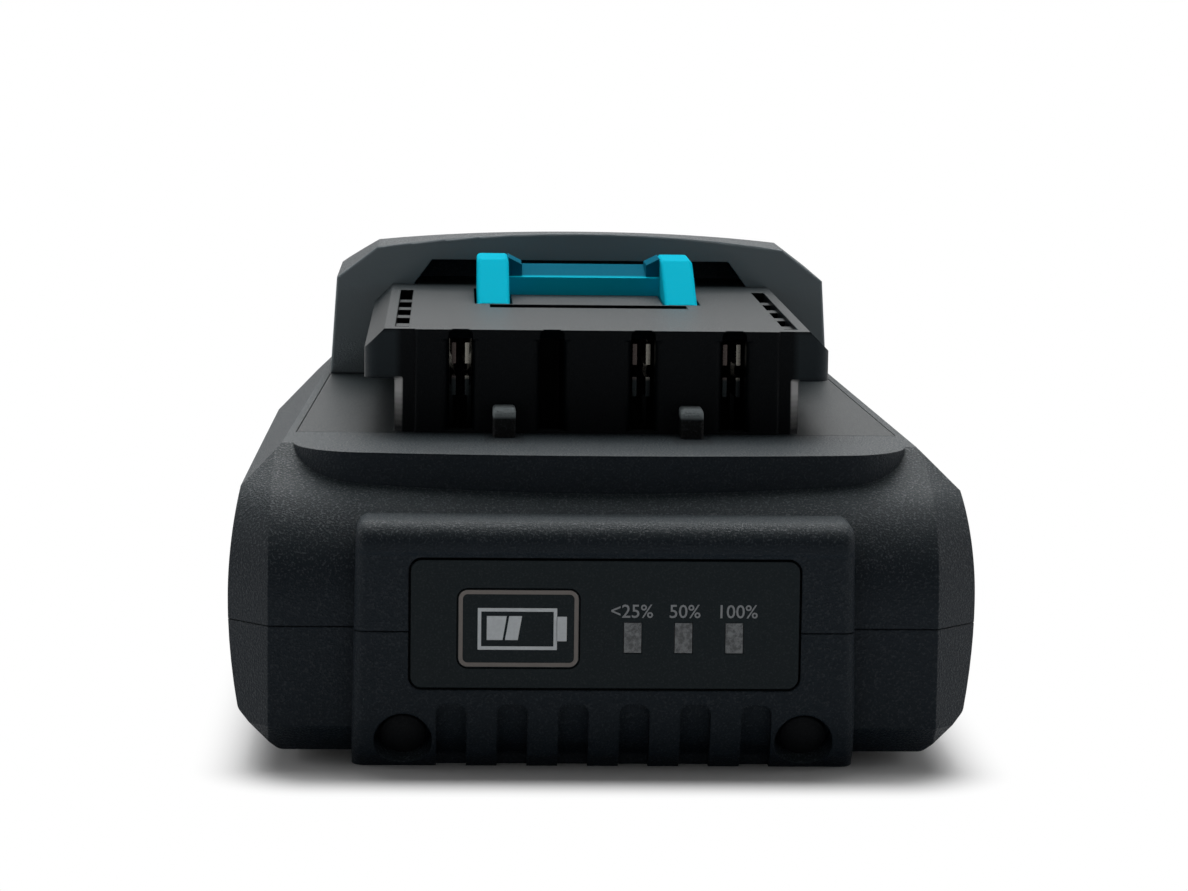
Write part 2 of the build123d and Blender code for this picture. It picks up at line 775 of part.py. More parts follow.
def gauge_posts():
    """Two slotted posts that hold the gauge board upright behind the panel."""
    half = GAUGE_BOARD_WIDTH / 2
    slot_front = gauge_y - GAUGE_POST_PLAY
    slot_back = gauge_y + GAUGE_BOARD_THICKNESS + GAUGE_POST_PLAY
    post = block(
        half - GAUGE_POST_WIDTH / 2, half + GAUGE_POST_WIDTH / 2,
        slot_front - GAUGE_POST_WALL, slot_back + GAUGE_POST_WALL,
        BELLY_Z + SHELL_WALL / 2, split_z - SEAM_GAP,
    )
    reach = half + GAUGE_POST_PLAY
    return both_sides(post - block(-reach, reach, slot_front, slot_back, gauge_board_z, split_z))


def rest_pads():
    """Two flat pads under the rear, level with the bumper's foot."""
    back_y = rear_y - BILGE
    half = REST_PAD_WIDTH / 2
    return both_sides(
        block(REST_PAD_PLACE - half, REST_PAD_PLACE + half, back_y - REST_PAD_LENGTH, back_y, 0, BELLY_Z)
    )


def lower_housing():
    """The lower shell: belly, sides up to the split, and the lower half of the bumper."""
    low = block(-half_width, half_width, front_y, rear_y, 0, split_z - SEAM_GAP / 2)
    shell = ((body_form() + bumper_form()) & low) + rest_pads()
    hollow = shell_room()
    shell = shell - (hollow - lower_bosses(0))
    shell = shell + (seam_lip(0) - hollow)
    for place in screw_places():
        shell = shell - screw_post(place, -CUT_MARGIN, seat_z, SCREW_HEAD + 2 * FIT)
        shell = shell - screw_post(place, 0, split_z, SCREW_SHANK + FIT)
    shell = shell + gauge_posts()
    for cut in grooves() + indicator_opening():
        shell = shell - cut
    return shell - plug_pocket(-1) - plug_pocket(1)


def hood_pockets():
    """The hollows inside the hood, beside and behind its mouth, open to the room below."""
    room = hood_form(HOOD_WALL, hood_y + HOOD_WALL)
    half = MOUTH_WIDTH / 2 + TUNNEL_WALL
    return room - block(-half, half, hood_y, shaft_y, 0, hood_top_z)


def mouth():
    """The hood's open mouth over the rails, which a partition closes behind."""
    half = MOUTH_WIDTH / 2
    top_x = half - MOUTH_CORNER_WIDTH
    top_z = rail_top_z + MOUTH_CORNER_HEIGHT
    outline = polygon(
        (-half, deck_z), (half, deck_z), (half, rail_top_z),
        (top_x, top_z), (-top_x, top_z), (-half, rail_top_z),
    )
    cut = along(outline, hood_y - CUT_MARGIN, mouth_back_y)
    return cut & across(hood_side(HOOD_WALL, deck_z - BILGE), -half_width, half_width)


def button_shaft():
    """Walls that guide the thumb button inside the hood."""
    outer = shaft_half + SHAFT_WALL
    wall = block(shaft_half, outer, mouth_back_y, hood_back_y, shaft_low_z, hood_top_z)
    return both_sides(wall) & hood_form()


def latch_passages():
    """Openings for the latch: through the deck, under the partition and out at the rear."""
    low = board_top_z
    inner_back = hood_back_y - HOOD_WALL
    return [
        block(-opening_x, opening_x, cavity_y - FIT, mouth_back_y, low, deck_z),
        block(-shaft_half, shaft_half, mouth_back_y - FIT, inner_back, low, partition_low_z),
        block(-shaft_half, shaft_half, shaft_y, rear_y, shaft_low_z, hood_top_z + CUT_MARGIN),
    ]


def plate_outline(grow):
    """The rail plate's flange seen from above, grown by a gap."""
    front = deck_half(seam_y) - PLATE_MARGIN + grow
    back = deck_half(hood_y) - PLATE_MARGIN + grow
    start = seam_y - grow
    return polygon((-front, start), (front, start), (back, hood_y), (-back, hood_y))


def posts():
    """Two small posts on the deck in front of the contact slots."""
    front = seam_y - POST_LENGTH
    back = seam_y - PLATE_GAP
    top_z = deck_z + POST_HEIGHT
    side = polygon((front, roof_z), (front, top_z), (back, top_z), (back, roof_z))
    brow = side.vertices().filter_by(lambda v: v.X < front + NEAR and v.Y > deck_z)
    side = fillet(brow, POST_HEIGHT - POST_FRONT_HEIGHT)
    x = POST_SPACING / 2
    half = POST_WIDTH / 2
    post = across(side, x - half, x + half)
    low_z = deck_z + POST_FRONT_HEIGHT
    rims = post.edges().filter_by(lambda e: abs(abs(e.center().X - x) - half) < NEAR)
    return both_sides(fillet(rims.filter_by(lambda e: e.center().Z > low_z), POST_EDGE))


def upper_bosses():
    """The upper shell's screw bosses, which reach the roof above them."""
    diameter = SCREW_SHANK + 2 * BOSS_WALL
    inside = body_form(SHELL_WALL / 2) + hood_form(HOOD_WALL / 2)
    low = split_z + SEAM_GAP / 2
    return [screw_post(place, low, hood_top_z, diameter) & inside for place in screw_places()]


def rounded_hood():
    """The hood with a small radius round its front edge."""
    hood = hood_form()
    front = hood.faces().sort_by(Axis.Y)[0]
    return fillet(front.edges().filter_by(lambda e: e.center().Z > deck_z), HOOD_EDGE)


def upper_housing():
    """The upper shell: nose, deck, hood, and the upper half of the bumper."""
    top_z = hood_top_z + CUT_MARGIN
    high = block(-half_width, half_width, front_y, rear_y, split_z + SEAM_GAP / 2, top_z)
    shell = (body_form() + bumper_form() + slab_form() + rounded_hood()) & high
    shell = shell - shell_room() - hood_pockets() - seam_lip(LIP_PLAY) - mouth()
    shell = shell + button_shaft() + upper_bosses() + posts()
    for cut in latch_passages() + indicator_opening():
        shell = shell - cut
    shell = shell - upright(plate_outline(PLATE_GAP), deck_z - PLATE_THICKNESS, deck_z + PLATE_THICKNESS)
    tip_z = seat_z + SCREW_LENGTH + FIT
    for place in screw_places():
        shell = shell - screw_post(place, split_z, tip_z, SCREW_SHANK + 2 * SCREW_CLEARANCE)
    return shell


def rail_head():
    """Both rails in one bar, with cut top edges and round front corners."""
    side = RAIL_WIDTH / 2
    shelf = rail_top_z - RAIL_CHAMFER
    edge = side - RAIL_CHAMFER
    section = polygon(
        (-side, rail_under_z), (side, rail_under_z), (side, shelf), (edge, rail_top_z),
        (-edge, rail_top_z), (-side, shelf),
    )
    head = along(section, rail_y, hood_y)
    corners = head.edges().filter_by(Axis.Z).filter_by(lambda e: e.center().Y < rail_y + NEAR)
    return fillet(corners, RAIL_NOSE_RADIUS)


def rail_web():
    """The web that carries the rails, with its front edges cut off."""
    half = WEB_WIDTH / 2
    web = block(-half, half, rail_y, hood_y, deck_z - PLATE_THICKNESS, rail_under_z)
    corners = web.edges().filter_by(Axis.Z).filter_by(lambda e: e.center().Y < rail_y + NEAR)
    return chamfer(corners, WEB_CHAMFER)


def tower():
    """The proud middle of the front wall, with rounded upright edges."""
    half = TOWER_WIDTH / 2
    nose = block(-half, half, tower_y, cavity_y, deck_z, rail_top_z)
    corners = nose.edges().filter_by(Axis.Z).filter_by(lambda e: e.center().Y < tower_y + NEAR)
    return fillet(corners, TOWER_PROUD - NEAR)


def slot_cuts():
    """The four contact slots through the front wall, with rounded mouths."""
    half = SLOT_WIDTH / 2
    wide = half + SLOT_MOUTH
    ahead = tower_y - SLOT_MOUTH
    behind = tower_y + SLOT_MOUTH
    curve = SLOT_MOUTH * (1 - cos(radians(45)))
    right = [
        Line((wide, ahead), (wide, tower_y)),
        ThreePointArc((wide, tower_y), (half + curve, tower_y + curve), (half, behind)),
        Line((half, behind), (half, cavity_y + FIT)),
    ]
    left = [mirror(edge, about=Plane.YZ) for edge in right]
    front = Line((-wide, ahead), (wide, ahead))
    back = Line((-half, cavity_y + FIT), (half, cavity_y + FIT))
    slot = upright(face_from(front, back, *right, *left), deck_z + SLOT_SILL, tower_ceiling)
    reach = TOWER_ROOF + SLOT_LEAD
    lead = polygon(
        (tower_y - reach, tower_ceiling),
        (tower_y + reach, tower_ceiling),
        (tower_y - reach, tower_ceiling + 2 * reach),
    )
    top_z = rail_top_z + NEAR
    arch = polygon((-half, deck_z), (half, deck_z), (half, top_z), (-half, top_z))
    arch = fillet(arch.vertices().filter_by(lambda v: v.Y > rail_top_z), SLOT_CORNER)
    slot = slot + (across(lead, -half, half) & along(arch, tower_y - reach, cavity_y))
    return [Pos(slot_x(n), 0, 0) * slot for n in range(SLOT_COUNT)]


def channel_cuts():
    """The channels along the tops of the rails, with deeper pockets."""
    start = rail_y + CHANNEL_START
    end = start + (POCKET_COUNT - 1) * POCKET_PITCH + POCKET_LENGTH
    middle = RAIL_WIDTH / 2 - CHANNEL_INSET
    x0 = middle - CHANNEL_WIDTH / 2
    x1 = middle + CHANNEL_WIDTH / 2
    cuts = block(x0, x1, start, end, rail_top_z - CHANNEL_DEPTH, rail_top_z)
    for number in range(POCKET_COUNT):
        y = start + number * POCKET_PITCH
        cuts = cuts + block(x0, x1, y, y + POCKET_LENGTH, rail_top_z - POCKET_DEPTH, rail_top_z)
    return both_sides(cuts)


def latch_opening():
    """The opening for the latch's lugs and for the bar between them."""
    low = plate_ceiling - FIT
    outer = LUG_SPACING / 2 + LUG_WIDTH / 2 + LATCH_GAP
    inner = LUG_SPACING / 2 - LUG_WIDTH / 2 - LATCH_GAP
    back = lug_back_y + LATCH_GAP
    lug = block(inner, outer, lug_y - LATCH_GAP, back, low, rail_top_z)
    bar = block(-outer, outer, bar_y - LATCH_GAP, back, low, rail_top_z)
    return both_sides(lug) + bar


def latch_dish():
    """A shallow dish in front of the latch, deepest next to it."""
    back = lug_y - 3 * LATCH_GAP
    dish = polygon(
        (back - DISH_LENGTH, rail_top_z), (back, rail_top_z - DISH_DEPTH), (back, rail_top_z)
    )
    return across(dish, -DISH_WIDTH / 2, DISH_WIDTH / 2)


def latch_guides():
    """Ribs inside the rail plate that keep the latch straight."""
    inner = LATCH_PLATE_WIDTH / 2 + LATCH_GAP
    outer = web_inner_x + WEB_WALL / 2
    front = block(inner, outer, lug_y, lug_y + GUIDE_THICKNESS, deck_z, rail_under_z + WEB_WALL)
    back = Pos(0, LUG_LENGTH, 0) * front
    return both_sides(front + back)


def rail_plate():
    """The moulded plate with its T rails, slots, channels and latch opening."""
    tail_x = MOUTH_WIDTH / 2 - FIT
    web_back = mouth_back_y - FIT
    tail = block(-tail_x, tail_x, hood_y - WEB_WALL, web_back, deck_z, rail_top_z)
    flange = upright(plate_outline(0), deck_z - PLATE_THICKNESS, deck_z)
    plate = rail_head() + rail_web() + tail + flange + tower()
    step_y = holder_back_y + FIT
    low = deck_z - 2 * PLATE_THICKNESS
    plate = plate - block(-web_inner_x, web_inner_x, cavity_y, step_y, low, tower_ceiling)
    plate = plate - block(-web_inner_x, web_inner_x, step_y, web_back, low, plate_ceiling)
    plate = plate + latch_guides()
    for cut in slot_cuts():
        plate = plate - cut
    return plate - channel_cuts() - latch_dish() - latch_opening()


def latch_lugs():
    """The two lugs: a ramp up to a flat top and a square back."""
    top = rail_top_z + LUG_HEIGHT
    low = latch_plate_top - LATCH_PLATE_THICKNESS / 2
    ramp_y = lug_y + LUG_RAMP
    side = polygon(
        (lug_y, low), (lug_y, rail_top_z), (ramp_y, top), (lug_back_y, top), (lug_back_y, low)
    )
    knee = side.vertices().filter_by(lambda v: abs(v.X - ramp_y) < NEAR)
    side = fillet(knee, LUG_ROUNDING)
    x = LUG_SPACING / 2
    half = LUG_WIDTH / 2
    lug = across(side, x - half, x + half)
    rims = lug.edges().filter_by(lambda e: abs(abs(e.center().X - x) - half) < NEAR)
    rims = rims.filter_by(lambda e: e.center().Z > rail_top_z and e.center().Y < lug_back_y - NEAR)
    return both_sides(fillet(rims, LUG_EDGE))


def latch_bar():
    """The bar between the lugs, with a sloping top and a small web at each end."""
    low = latch_plate_top - LATCH_PLATE_THICKNESS / 2
    front_z = rail_top_z + BAR_FRONT_HEIGHT
    side = polygon(
        (bar_y, low), (bar_y, front_z), (lug_back_y, rail_top_z + BAR_REAR_HEIGHT), (lug_back_y, low)
    )
    bar = across(side, -LUG_SPACING / 2, LUG_SPACING / 2)
    x = (LUG_SPACING - LUG_WIDTH) / 2
    top = rail_top_z + LUG_HEIGHT
    web = polygon((x, top), (x, front_z), (x - GUSSET, front_z), (x - GUSSET, top - GUSSET / 2))
    return bar + both_sides(along(web, bar_y + GUSSET / 2, lug_back_y))


def button_shell():
    """The thumb button's shell: sloping top, falling lip and a skirt behind the sill."""
    half = BUTTON_WIDTH / 2
    front = shaft_y + LATCH_GAP
    back = hood_back_y - HOOD_WALL - LATCH_GAP
    knee = hood_back_y - HOOD_BACK_RADIUS
    lip = back + BUTTON_LIP
    thumb_z = button_top_z - BUTTON_SLOPE
    side = polygon(
        (front, latch_plate_low), (front, button_top_z), (knee, thumb_z), (lip, lip_top_z),
        (lip, lip_low_z), (back, lip_low_z), (back, latch_plate_low - BUTTON_SKIRT),
    )
    inside = polygon(
        (front + BUTTON_WALL, 0), (front + BUTTON_WALL, thumb_z - BUTTON_WALL),
        (knee - BUTTON_WALL, thumb_z - BUTTON_WALL),
        (back - BUTTON_WALL, lip_top_z - BUTTON_WALL), (back - BUTTON_WALL, 0),
    )
    shell = across(side, -half, half)
    return shell - across(inside, BUTTON_WALL - half, half - BUTTON_WALL)


def grip_ridges():
    """Round ridges across the top of the thumb button."""
    front = shaft_y + LATCH_GAP
    knee = hood_back_y - HOOD_BACK_RADIUS
    half = BUTTON_WIDTH / 2 - BUTTON_WALL / 2
    ridges = []
    for number in range(GRIP_COUNT):
        y = knee - (number + 0.5) * GRIP_PITCH
        z = button_top_z - BUTTON_SLOPE * (y - front) / (knee - front)
        ridges.append(across(Pos(y, z) * Circle(GRIP_HEIGHT), -half, half))
    return ridges


def latch():
    """The latch: a plate with lugs, bar, stops, spring seats and the thumb button."""
    half = LATCH_PLATE_WIDTH / 2
    low = latch_plate_low
    top = latch_plate_top
    plate = block(-half, half, lug_y, spring_y + SPRING_PIN, low, top)
    neck = BUTTON_WIDTH / 2
    plate = plate + block(-neck, neck, lug_back_y, shaft_y + LATCH_GAP + BUTTON_WALL, low, top)
    stop = block(
        (LUG_SPACING + LUG_WIDTH) / 2 + LATCH_GAP, half,
        lug_y + GUIDE_THICKNESS, lug_back_y - GUIDE_THICKNESS, low, plate_ceiling - LATCH_STOP_GAP,
    )
    ear = block(
        spring_x, web_inner_x - LATCH_GAP, spring_y - SPRING_PIN, spring_y + SPRING_PIN, low, top
    )
    pin = peg(spring_x, spring_y, low - SPRING_PIN_HEIGHT, top, SPRING_PIN)
    hand = latch_lugs() + latch_bar() + button_shell() + grip_ridges()
    return plate + hand + both_sides(stop + ear + pin)


def latch_spring(side):
    """A return spring between a cell frame and the latch."""
    low = frame_top_z + SPRING_WIRE / 2
    height = latch_plate_low - frame_top_z - SPRING_WIRE
    path = Helix(height / SPRING_TURNS, height, SPRING_MEAN_DIAMETER / 2)
    wire = Plane(origin=path @ 0, z_dir=path % 0) * RegularPolygon(SPRING_WIRE / 2, SPRING_SIDES)
    return Pos(side * spring_x, spring_y, low) * sweep(wire, path=path)


def cell_bores(side):
    """The cells' bores in a frame, with smaller windows through its end wall."""
    near = side * end_x
    far = side * half_width
    bores = []
    for number in range(CELL_COUNT):
        axis = Plane(origin=(0, cell_y(number), cell_z), x_dir=(0, 1, 0), z_dir=(side, 0, 0))
        bores.append(axis * round_bar(CELL_DIAMETER + 2 * CELL_PLAY, 0, end_x))
        bores.append(axis * round_bar(FRAME_WINDOW, end_x - CUT_MARGIN, half_width))
    track = STRIP_WIDTH / 2 + FIT
    x0, x1 = sorted((near, far))
    last = CELL_COUNT - 1
    bores.append(block(x0, x1, cell_y(0), cell_y(last), cell_z - track, cell_z + track))
    for lead_side, number in lead_ends():
        y = cell_y(number)
        if lead_side == side:
            bores.append(block(x0, x1, y - track, y + track, cell_z - track, frame_top_z))
    return bores


def cell_frame(side):
    """One cell frame, which holds the cells' ends and carries the main board."""
    x0, x1 = sorted((side * frame_in_x, side * frame_out_x))
    front = cells_y - FRAME_RIM
    back = cells_y + cells_span + FRAME_RIM
    frame = block(x0, x1, front, back, frame_z, frame_top_z)
    frame = frame & body_form(SHELL_WALL + SEAT_GAP)
    for bore in cell_bores(side):
        frame = frame - bore
    for boss in lower_bosses(FIT):
        frame = frame - boss
    inside = frame_top_z - FRAME_RIM / 2
    for x, y in standoff_places(side):
        frame = frame + peg(x, y, inside, board_z, STANDOFF_DIAMETER)
        frame = frame + peg(x, y, inside, board_top_z + FIT, STANDOFF_PIN)
    top_z = frame_top_z + SPRING_PIN_HEIGHT
    return frame + peg(side * spring_x, spring_y, inside, top_z, SPRING_PIN)


def cell(number):
    """One round cell, with its button end to the right or left in turn."""
    r = cell_radius
    top = CELL_LENGTH - BUTTON_TOP_HEIGHT
    crimp = top - CRIMP_PLACE
    button = BUTTON_TOP_DIAMETER / 2
    profile = polygon(
        (0, 0), (r - CELL_EDGE, 0), (r, CELL_EDGE), (r, crimp),
        (r - CRIMP_DEPTH, crimp + CRIMP_WIDTH / 2), (r, crimp + CRIMP_WIDTH),
        (r, top - CELL_EDGE), (r - CELL_EDGE, top), (button, top),
        (button, CELL_LENGTH), (0, CELL_LENGTH),
    )
    solid = revolve(Plane.XZ * profile, axis=Axis.Z)
    way = 1 if number % 2 == 0 else -1
    return Pos(-way * end_x, cell_y(number), cell_z) * Rot(0, way * 90, 0) * solid


def bridge_strip(first):
    """A welded strip across the ends of two neighbouring cells, to the left or right in turn."""
    side = -1 if first % 2 == 0 else 1
    x0, x1 = sorted((side * end_x, side * (end_x + STRIP_THICKNESS)))
    half = STRIP_WIDTH / 2
    y0 = cell_y(first) - half
    y1 = cell_y(first + 1) + half
    return block(x0, x1, y0, y1, cell_z - half, cell_z + half)


def lead_strip(side, number):
    """A strip from a cell's end over the frame and up onto the main board."""
    half_t = STRIP_THICKNESS / 2
    half = STRIP_WIDTH / 2
    out_x = end_x + half_t
    rise_x = BOARD_WIDTH / 2 + FIT + half_t
    ledge_z = frame_top_z + half_t
    top_z = board_top_z + half_t
    route = Polyline(
        (out_x, cell_z - half), (out_x, ledge_z), (rise_x, ledge_z),
        (rise_x, top_z), (BOARD_WIDTH / 2 - STRIP_LANDING, top_z),
    )
    y = cell_y(number)
    strip = along(trace(route, STRIP_THICKNESS), y - half, y + half)
    return strip if side > 0 else mirror(strip, about=Plane.YZ)


def main_board():
    """The control board over the cells, with holes for pins and springs."""
    half = BOARD_WIDTH / 2
    back = cells_y + cells_span - BOARD_BACK
    board = block(-half, half, board_front_y, back, board_z, board_top_z)
    for side in (-1, 1):
        for x, y in standoff_places(side):
            board = board - peg(x, y, board_z, board_top_z, STANDOFF_PIN + FIT)
        board = board - peg(side * spring_x, spring_y, board_z, board_top_z, SPRING_HOLE)
    return board


def power_transistors():
    """A row of power transistors behind the contact holder."""
    middle = (TRANSISTOR_COUNT - 1) / 2
    y = holder_back_y + TRANSISTOR_SIZE
    half = TRANSISTOR_SIZE / 2
    top_z = board_top_z + TRANSISTOR_HEIGHT
    solids = []
    for number in range(TRANSISTOR_COUNT):
        x = (number - middle) * TRANSISTOR_PITCH
        solids.append(block(x - half, x + half, y - half, y + half, board_top_z, top_z))
    return Compound(children=solids)


def control_chip():
    """The controller on the main board."""
    half = CHIP_SIZE / 2
    y = holder_back_y + 3 * TRANSISTOR_SIZE
    return block(-half, half, y - half, y + half, board_top_z, board_top_z + CHIP_HEIGHT)


def contact_holder():
    """The block that holds the contacts behind the slots."""
    half = web_inner_x - FIT
    top = tower_ceiling - FIT
    holder = block(-half, half, holder_y, holder_back_y, board_top_z, top)
    reach = (SLOT_WIDTH + HOLDER_SLOT_EXTRA) / 2
    inner_back = holder_back_y - HOLDER_BACK
    sill_z = board_top_z + HOLDER_SILL
    sill_y = holder_y + HOLDER_SILL_DEPTH
    for number in range(SLOT_COUNT):
        x = slot_x(number)
        holder = holder - block(x - reach, x + reach, holder_y, inner_back, sill_z, top)
        holder = holder - block(x - reach, x + reach, sill_y, inner_back, board_top_z, sill_z)
    core = SLOT_PITCH / 2 - reach - BOSS_WALL
    front = holder_y + BOSS_WALL
    for number in range(SLOT_COUNT - 1):
        x = (slot_x(number) + slot_x(number + 1)) / 2
        holder = holder - block(x - core, x + core, front, inner_back, board_top_z, top - BOSS_WALL)
    return holder


def contact(number):
    """A contact with two sprung leaves, each split into an upper and a lower finger."""
    start = holder_y + CONTACT_START
    back = start + CONTACT_REACH
    root_y = back - CONTACT_BASE
    pinch_y = start + CONTACT_PINCH_PLACE
    finger = Polyline(
        (CONTACT_FLARE, start), (CONTACT_PINCH, pinch_y), (CONTACT_SPREAD, root_y + CONTACT_SPREAD)
    )
    finger_face = trace(finger, CONTACT_THICKNESS)
    low = deck_z + FINGER_LOW
    high = deck_z + FINGER_HIGH
    top = high + FINGER_HIGH_HEIGHT
    leaf = upright(finger_face, low, low + FINGER_LOW_HEIGHT) + upright(finger_face, high, top)
    root = trace(Line((CONTACT_SPREAD, root_y), (CONTACT_SPREAD, back)), CONTACT_THICKNESS)
    leaf = leaf + upright(root, board_top_z, top)
    reach = CONTACT_SPREAD + CONTACT_THICKNESS / 2
    base = block(-reach, reach, root_y, back, board_top_z, board_top_z + CONTACT_THICKNESS)
    return Pos(slot_x(number), 0, 0) * (both_sides(leaf) + base)


def insulation_sheet():
    """The sheet that lies on the cells under the main board."""
    low = cell_z + cell_radius
    half = frame_in_x - FIT
    last = CELL_COUNT - 1
    return block(-half, half, cell_y(0), cell_y(last), low, low + SHEET_THICKNESS)


def thermistor():
    """A bead on the sheet over the middle cell, with its two legs up to the board."""
    low = cell_z + cell_radius + SHEET_THICKNESS
    radius = BEAD_DIAMETER / 2
    y = cell_y(CELL_COUNT // 2)
    bead = peg(0, y, low, low + BEAD_DIAMETER, BEAD_DIAMETER)
    return bead + both_sides(peg(radius / 2, y, low + radius, board_z, BEAD_LEG))


def indicator_panel():
    """The panel plate, with an opening for the key and three windows."""
    panel = along(panel_face(0), face_y, panel_back_y)
    panel = panel - along(key_face(KEY_GAP), face_y, panel_back_y)
    for number in range(WINDOW_COUNT):
        panel = panel - window_block(number, face_y, panel_back_y, PIPE_GAP)
    return panel


def switch_key():
    """The key: a plate flush with the panel, a flange behind it and a stem."""
    flange_y = panel_back_y + KEY_GAP
    plate = along(key_face(0), face_y, flange_y)
    flange = along(key_face(KEY_FLANGE), flange_y, flange_y + KEY_FLANGE)
    return plate + flange + key_bar(KEY_STEM, flange_y, tact_y - PLUNGER_PROUD)


def tact_switch():
    """The body of the tactile switch, with a bore for its plunger."""
    half = TACT_SIZE / 2
    x = KEY_CENTRE_X
    body = block(x - half, x + half, tact_y, gauge_y, key_z - half, key_z + half)
    depth = PLUNGER_DEPTH + KEY_TRAVEL + FIT
    return body - key_bar(PLUNGER_DIAMETER + 2 * PLUNGER_CLEARANCE, tact_y, tact_y + depth)


def tact_plunger():
    """The moving stem of the tactile switch."""
    return key_bar(PLUNGER_DIAMETER, tact_y - PLUNGER_PROUD, tact_y + PLUNGER_DEPTH)


def light_pipe():
    """The clear moulding that carries light to the three windows."""
    left = window_x(0) - WINDOW_WIDTH / 2
    right = window_x(WINDOW_COUNT - 1) + WINDOW_WIDTH / 2
    half_z = WINDOW_HEIGHT / 2
    bar_back = panel_back_y + PIPE_BAR
    pipe = block(left, right, panel_back_y, bar_back, window_z - half_z, window_z + half_z)
    for number in range(WINDOW_COUNT):
        pipe = pipe + window_block(number, face_y + PIPE_GAP, gauge_y - LED_HEIGHT - FIT, 0)
    return pipe


def charge_leds():
    """Three light emitting diodes on the gauge board."""
    half = LED_WIDTH / 2
    front = gauge_y - LED_HEIGHT
    leds = []
    for number in range(WINDOW_COUNT):
        x = window_x(number)
        leds.append(block(x - half, x + half, front, gauge_y, window_z - half, window_z + half))
    return Compound(children=leds)


def gauge_board():
    """The small board behind the panel."""
    half = GAUGE_BOARD_WIDTH / 2
    back = gauge_y + GAUGE_BOARD_THICKNESS
    return block(-half, half, gauge_y, back, gauge_board_z, gauge_board_z + GAUGE_BOARD_HEIGHT)


def gauge_ribbon():
    """The flat ribbon from the gauge board over to the main board."""
    half_t = RIBBON_THICKNESS / 2
    rise_y = gauge_y + GAUGE_BOARD_THICKNESS + half_t
    top = gauge_board_z + GAUGE_BOARD_HEIGHT
    land_z = board_top_z + half_t
    route = FilletPolyline(
        (rise_y, top - RIBBON_LAP), (rise_y, top),
        (board_front_y - RIBBON_BEND, land_z), (board_front_y + RIBBON_LAP, land_z),
        radius=RIBBON_BEND,
    )
    half = RIBBON_WIDTH / 2
    return across(trace(route, RIBBON_THICKNESS), -half, half)


def housing_screws():
    """The four screws that hold the shells together."""
    low = seat_z - SCREW_HEAD_HEIGHT
    screws = []
    for place in screw_places():
        screw = screw_post(place, low, seat_z, SCREW_HEAD)
        screw = screw + screw_post(place, low, seat_z + SCREW_LENGTH, SCREW_SHANK)
        drive = screw_post(place, low, seat_z - SCREW_HEAD_HEIGHT / 2, SCREW_SHANK / 2)
        screws.append((screw - drive).solid())
    return Compound(children=screws)


def pieces():
    """Every piece by its node name."""
    positive_end, negative_end = lead_ends()
    nodes = {
        "lower_housing": lower_housing(),
        "upper_housing": upper_housing(),
        "rail_plate": rail_plate(),
        "bumper_plugs": bumper_plugs(),
        "housing_screws": housing_screws(),
        "indicator_panel": indicator_panel(),
        "switch_key": switch_key(),
        "light_pipe": light_pipe(),
        "charge_leds": charge_leds(),
        "tact_switch": tact_switch(),
        "tact_plunger": tact_plunger(),
        "gauge_board": gauge_board(),
        "gauge_ribbon": gauge_ribbon(),
        "main_board": main_board(),
        "power_transistors": power_transistors(),
        "control_chip": control_chip(),
        "contact_negative": contact(CONTACT_SLOTS[0]),
        "contact_sense": contact(CONTACT_SLOTS[1]),
        "contact_positive": contact(CONTACT_SLOTS[2]),
        "contact_holder": contact_holder(),
        "thermistor": thermistor(),
        "insulation_sheet": insulation_sheet(),
        "cell_frame_left": cell_frame(-1),
        "cell_frame_right": cell_frame(1),
        "positive_strip": lead_strip(*positive_end),
        "negative_strip": lead_strip(*negative_end),
        "latch": latch(),
        "latch_spring_left": latch_spring(-1),
        "latch_spring_right": latch_spring(1),
    }
    for number in range(CELL_COUNT):
        nodes["cell_" + str(number + 1)] = cell(number)
    for first in range(CELL_COUNT - 1):
        nodes["bridge_strip_" + str(first + 1)] = bridge_strip(first)
    return nodes


os.makedirs("parts", exist_ok=True)
for node, piece in pieces().items():
    piece.label = node
    export_step(piece, "parts/" + node + ".step")
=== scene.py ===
from math import cos, pi, sin

import bmesh
import bpy
from mathutils import Matrix, Vector


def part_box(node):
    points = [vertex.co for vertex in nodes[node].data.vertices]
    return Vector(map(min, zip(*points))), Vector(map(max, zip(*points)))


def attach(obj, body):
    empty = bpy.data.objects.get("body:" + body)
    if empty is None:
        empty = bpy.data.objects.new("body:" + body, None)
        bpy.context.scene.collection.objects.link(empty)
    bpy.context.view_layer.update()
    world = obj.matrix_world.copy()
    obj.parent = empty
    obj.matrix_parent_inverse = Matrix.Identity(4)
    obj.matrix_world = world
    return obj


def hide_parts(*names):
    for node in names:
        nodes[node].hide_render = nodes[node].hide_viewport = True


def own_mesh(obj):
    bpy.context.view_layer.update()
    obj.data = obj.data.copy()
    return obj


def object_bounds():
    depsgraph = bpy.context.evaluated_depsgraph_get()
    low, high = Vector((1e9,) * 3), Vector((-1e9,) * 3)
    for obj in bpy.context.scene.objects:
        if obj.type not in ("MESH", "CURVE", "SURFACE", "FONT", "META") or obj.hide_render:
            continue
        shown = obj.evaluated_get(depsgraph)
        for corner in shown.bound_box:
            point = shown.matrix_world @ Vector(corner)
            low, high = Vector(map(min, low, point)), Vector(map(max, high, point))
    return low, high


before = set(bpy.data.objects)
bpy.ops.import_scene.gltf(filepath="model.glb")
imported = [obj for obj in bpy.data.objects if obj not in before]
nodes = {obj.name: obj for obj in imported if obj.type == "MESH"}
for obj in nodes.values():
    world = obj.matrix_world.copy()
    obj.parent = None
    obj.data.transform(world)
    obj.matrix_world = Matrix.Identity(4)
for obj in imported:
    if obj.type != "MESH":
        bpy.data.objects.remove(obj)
cad_low, cad_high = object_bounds()


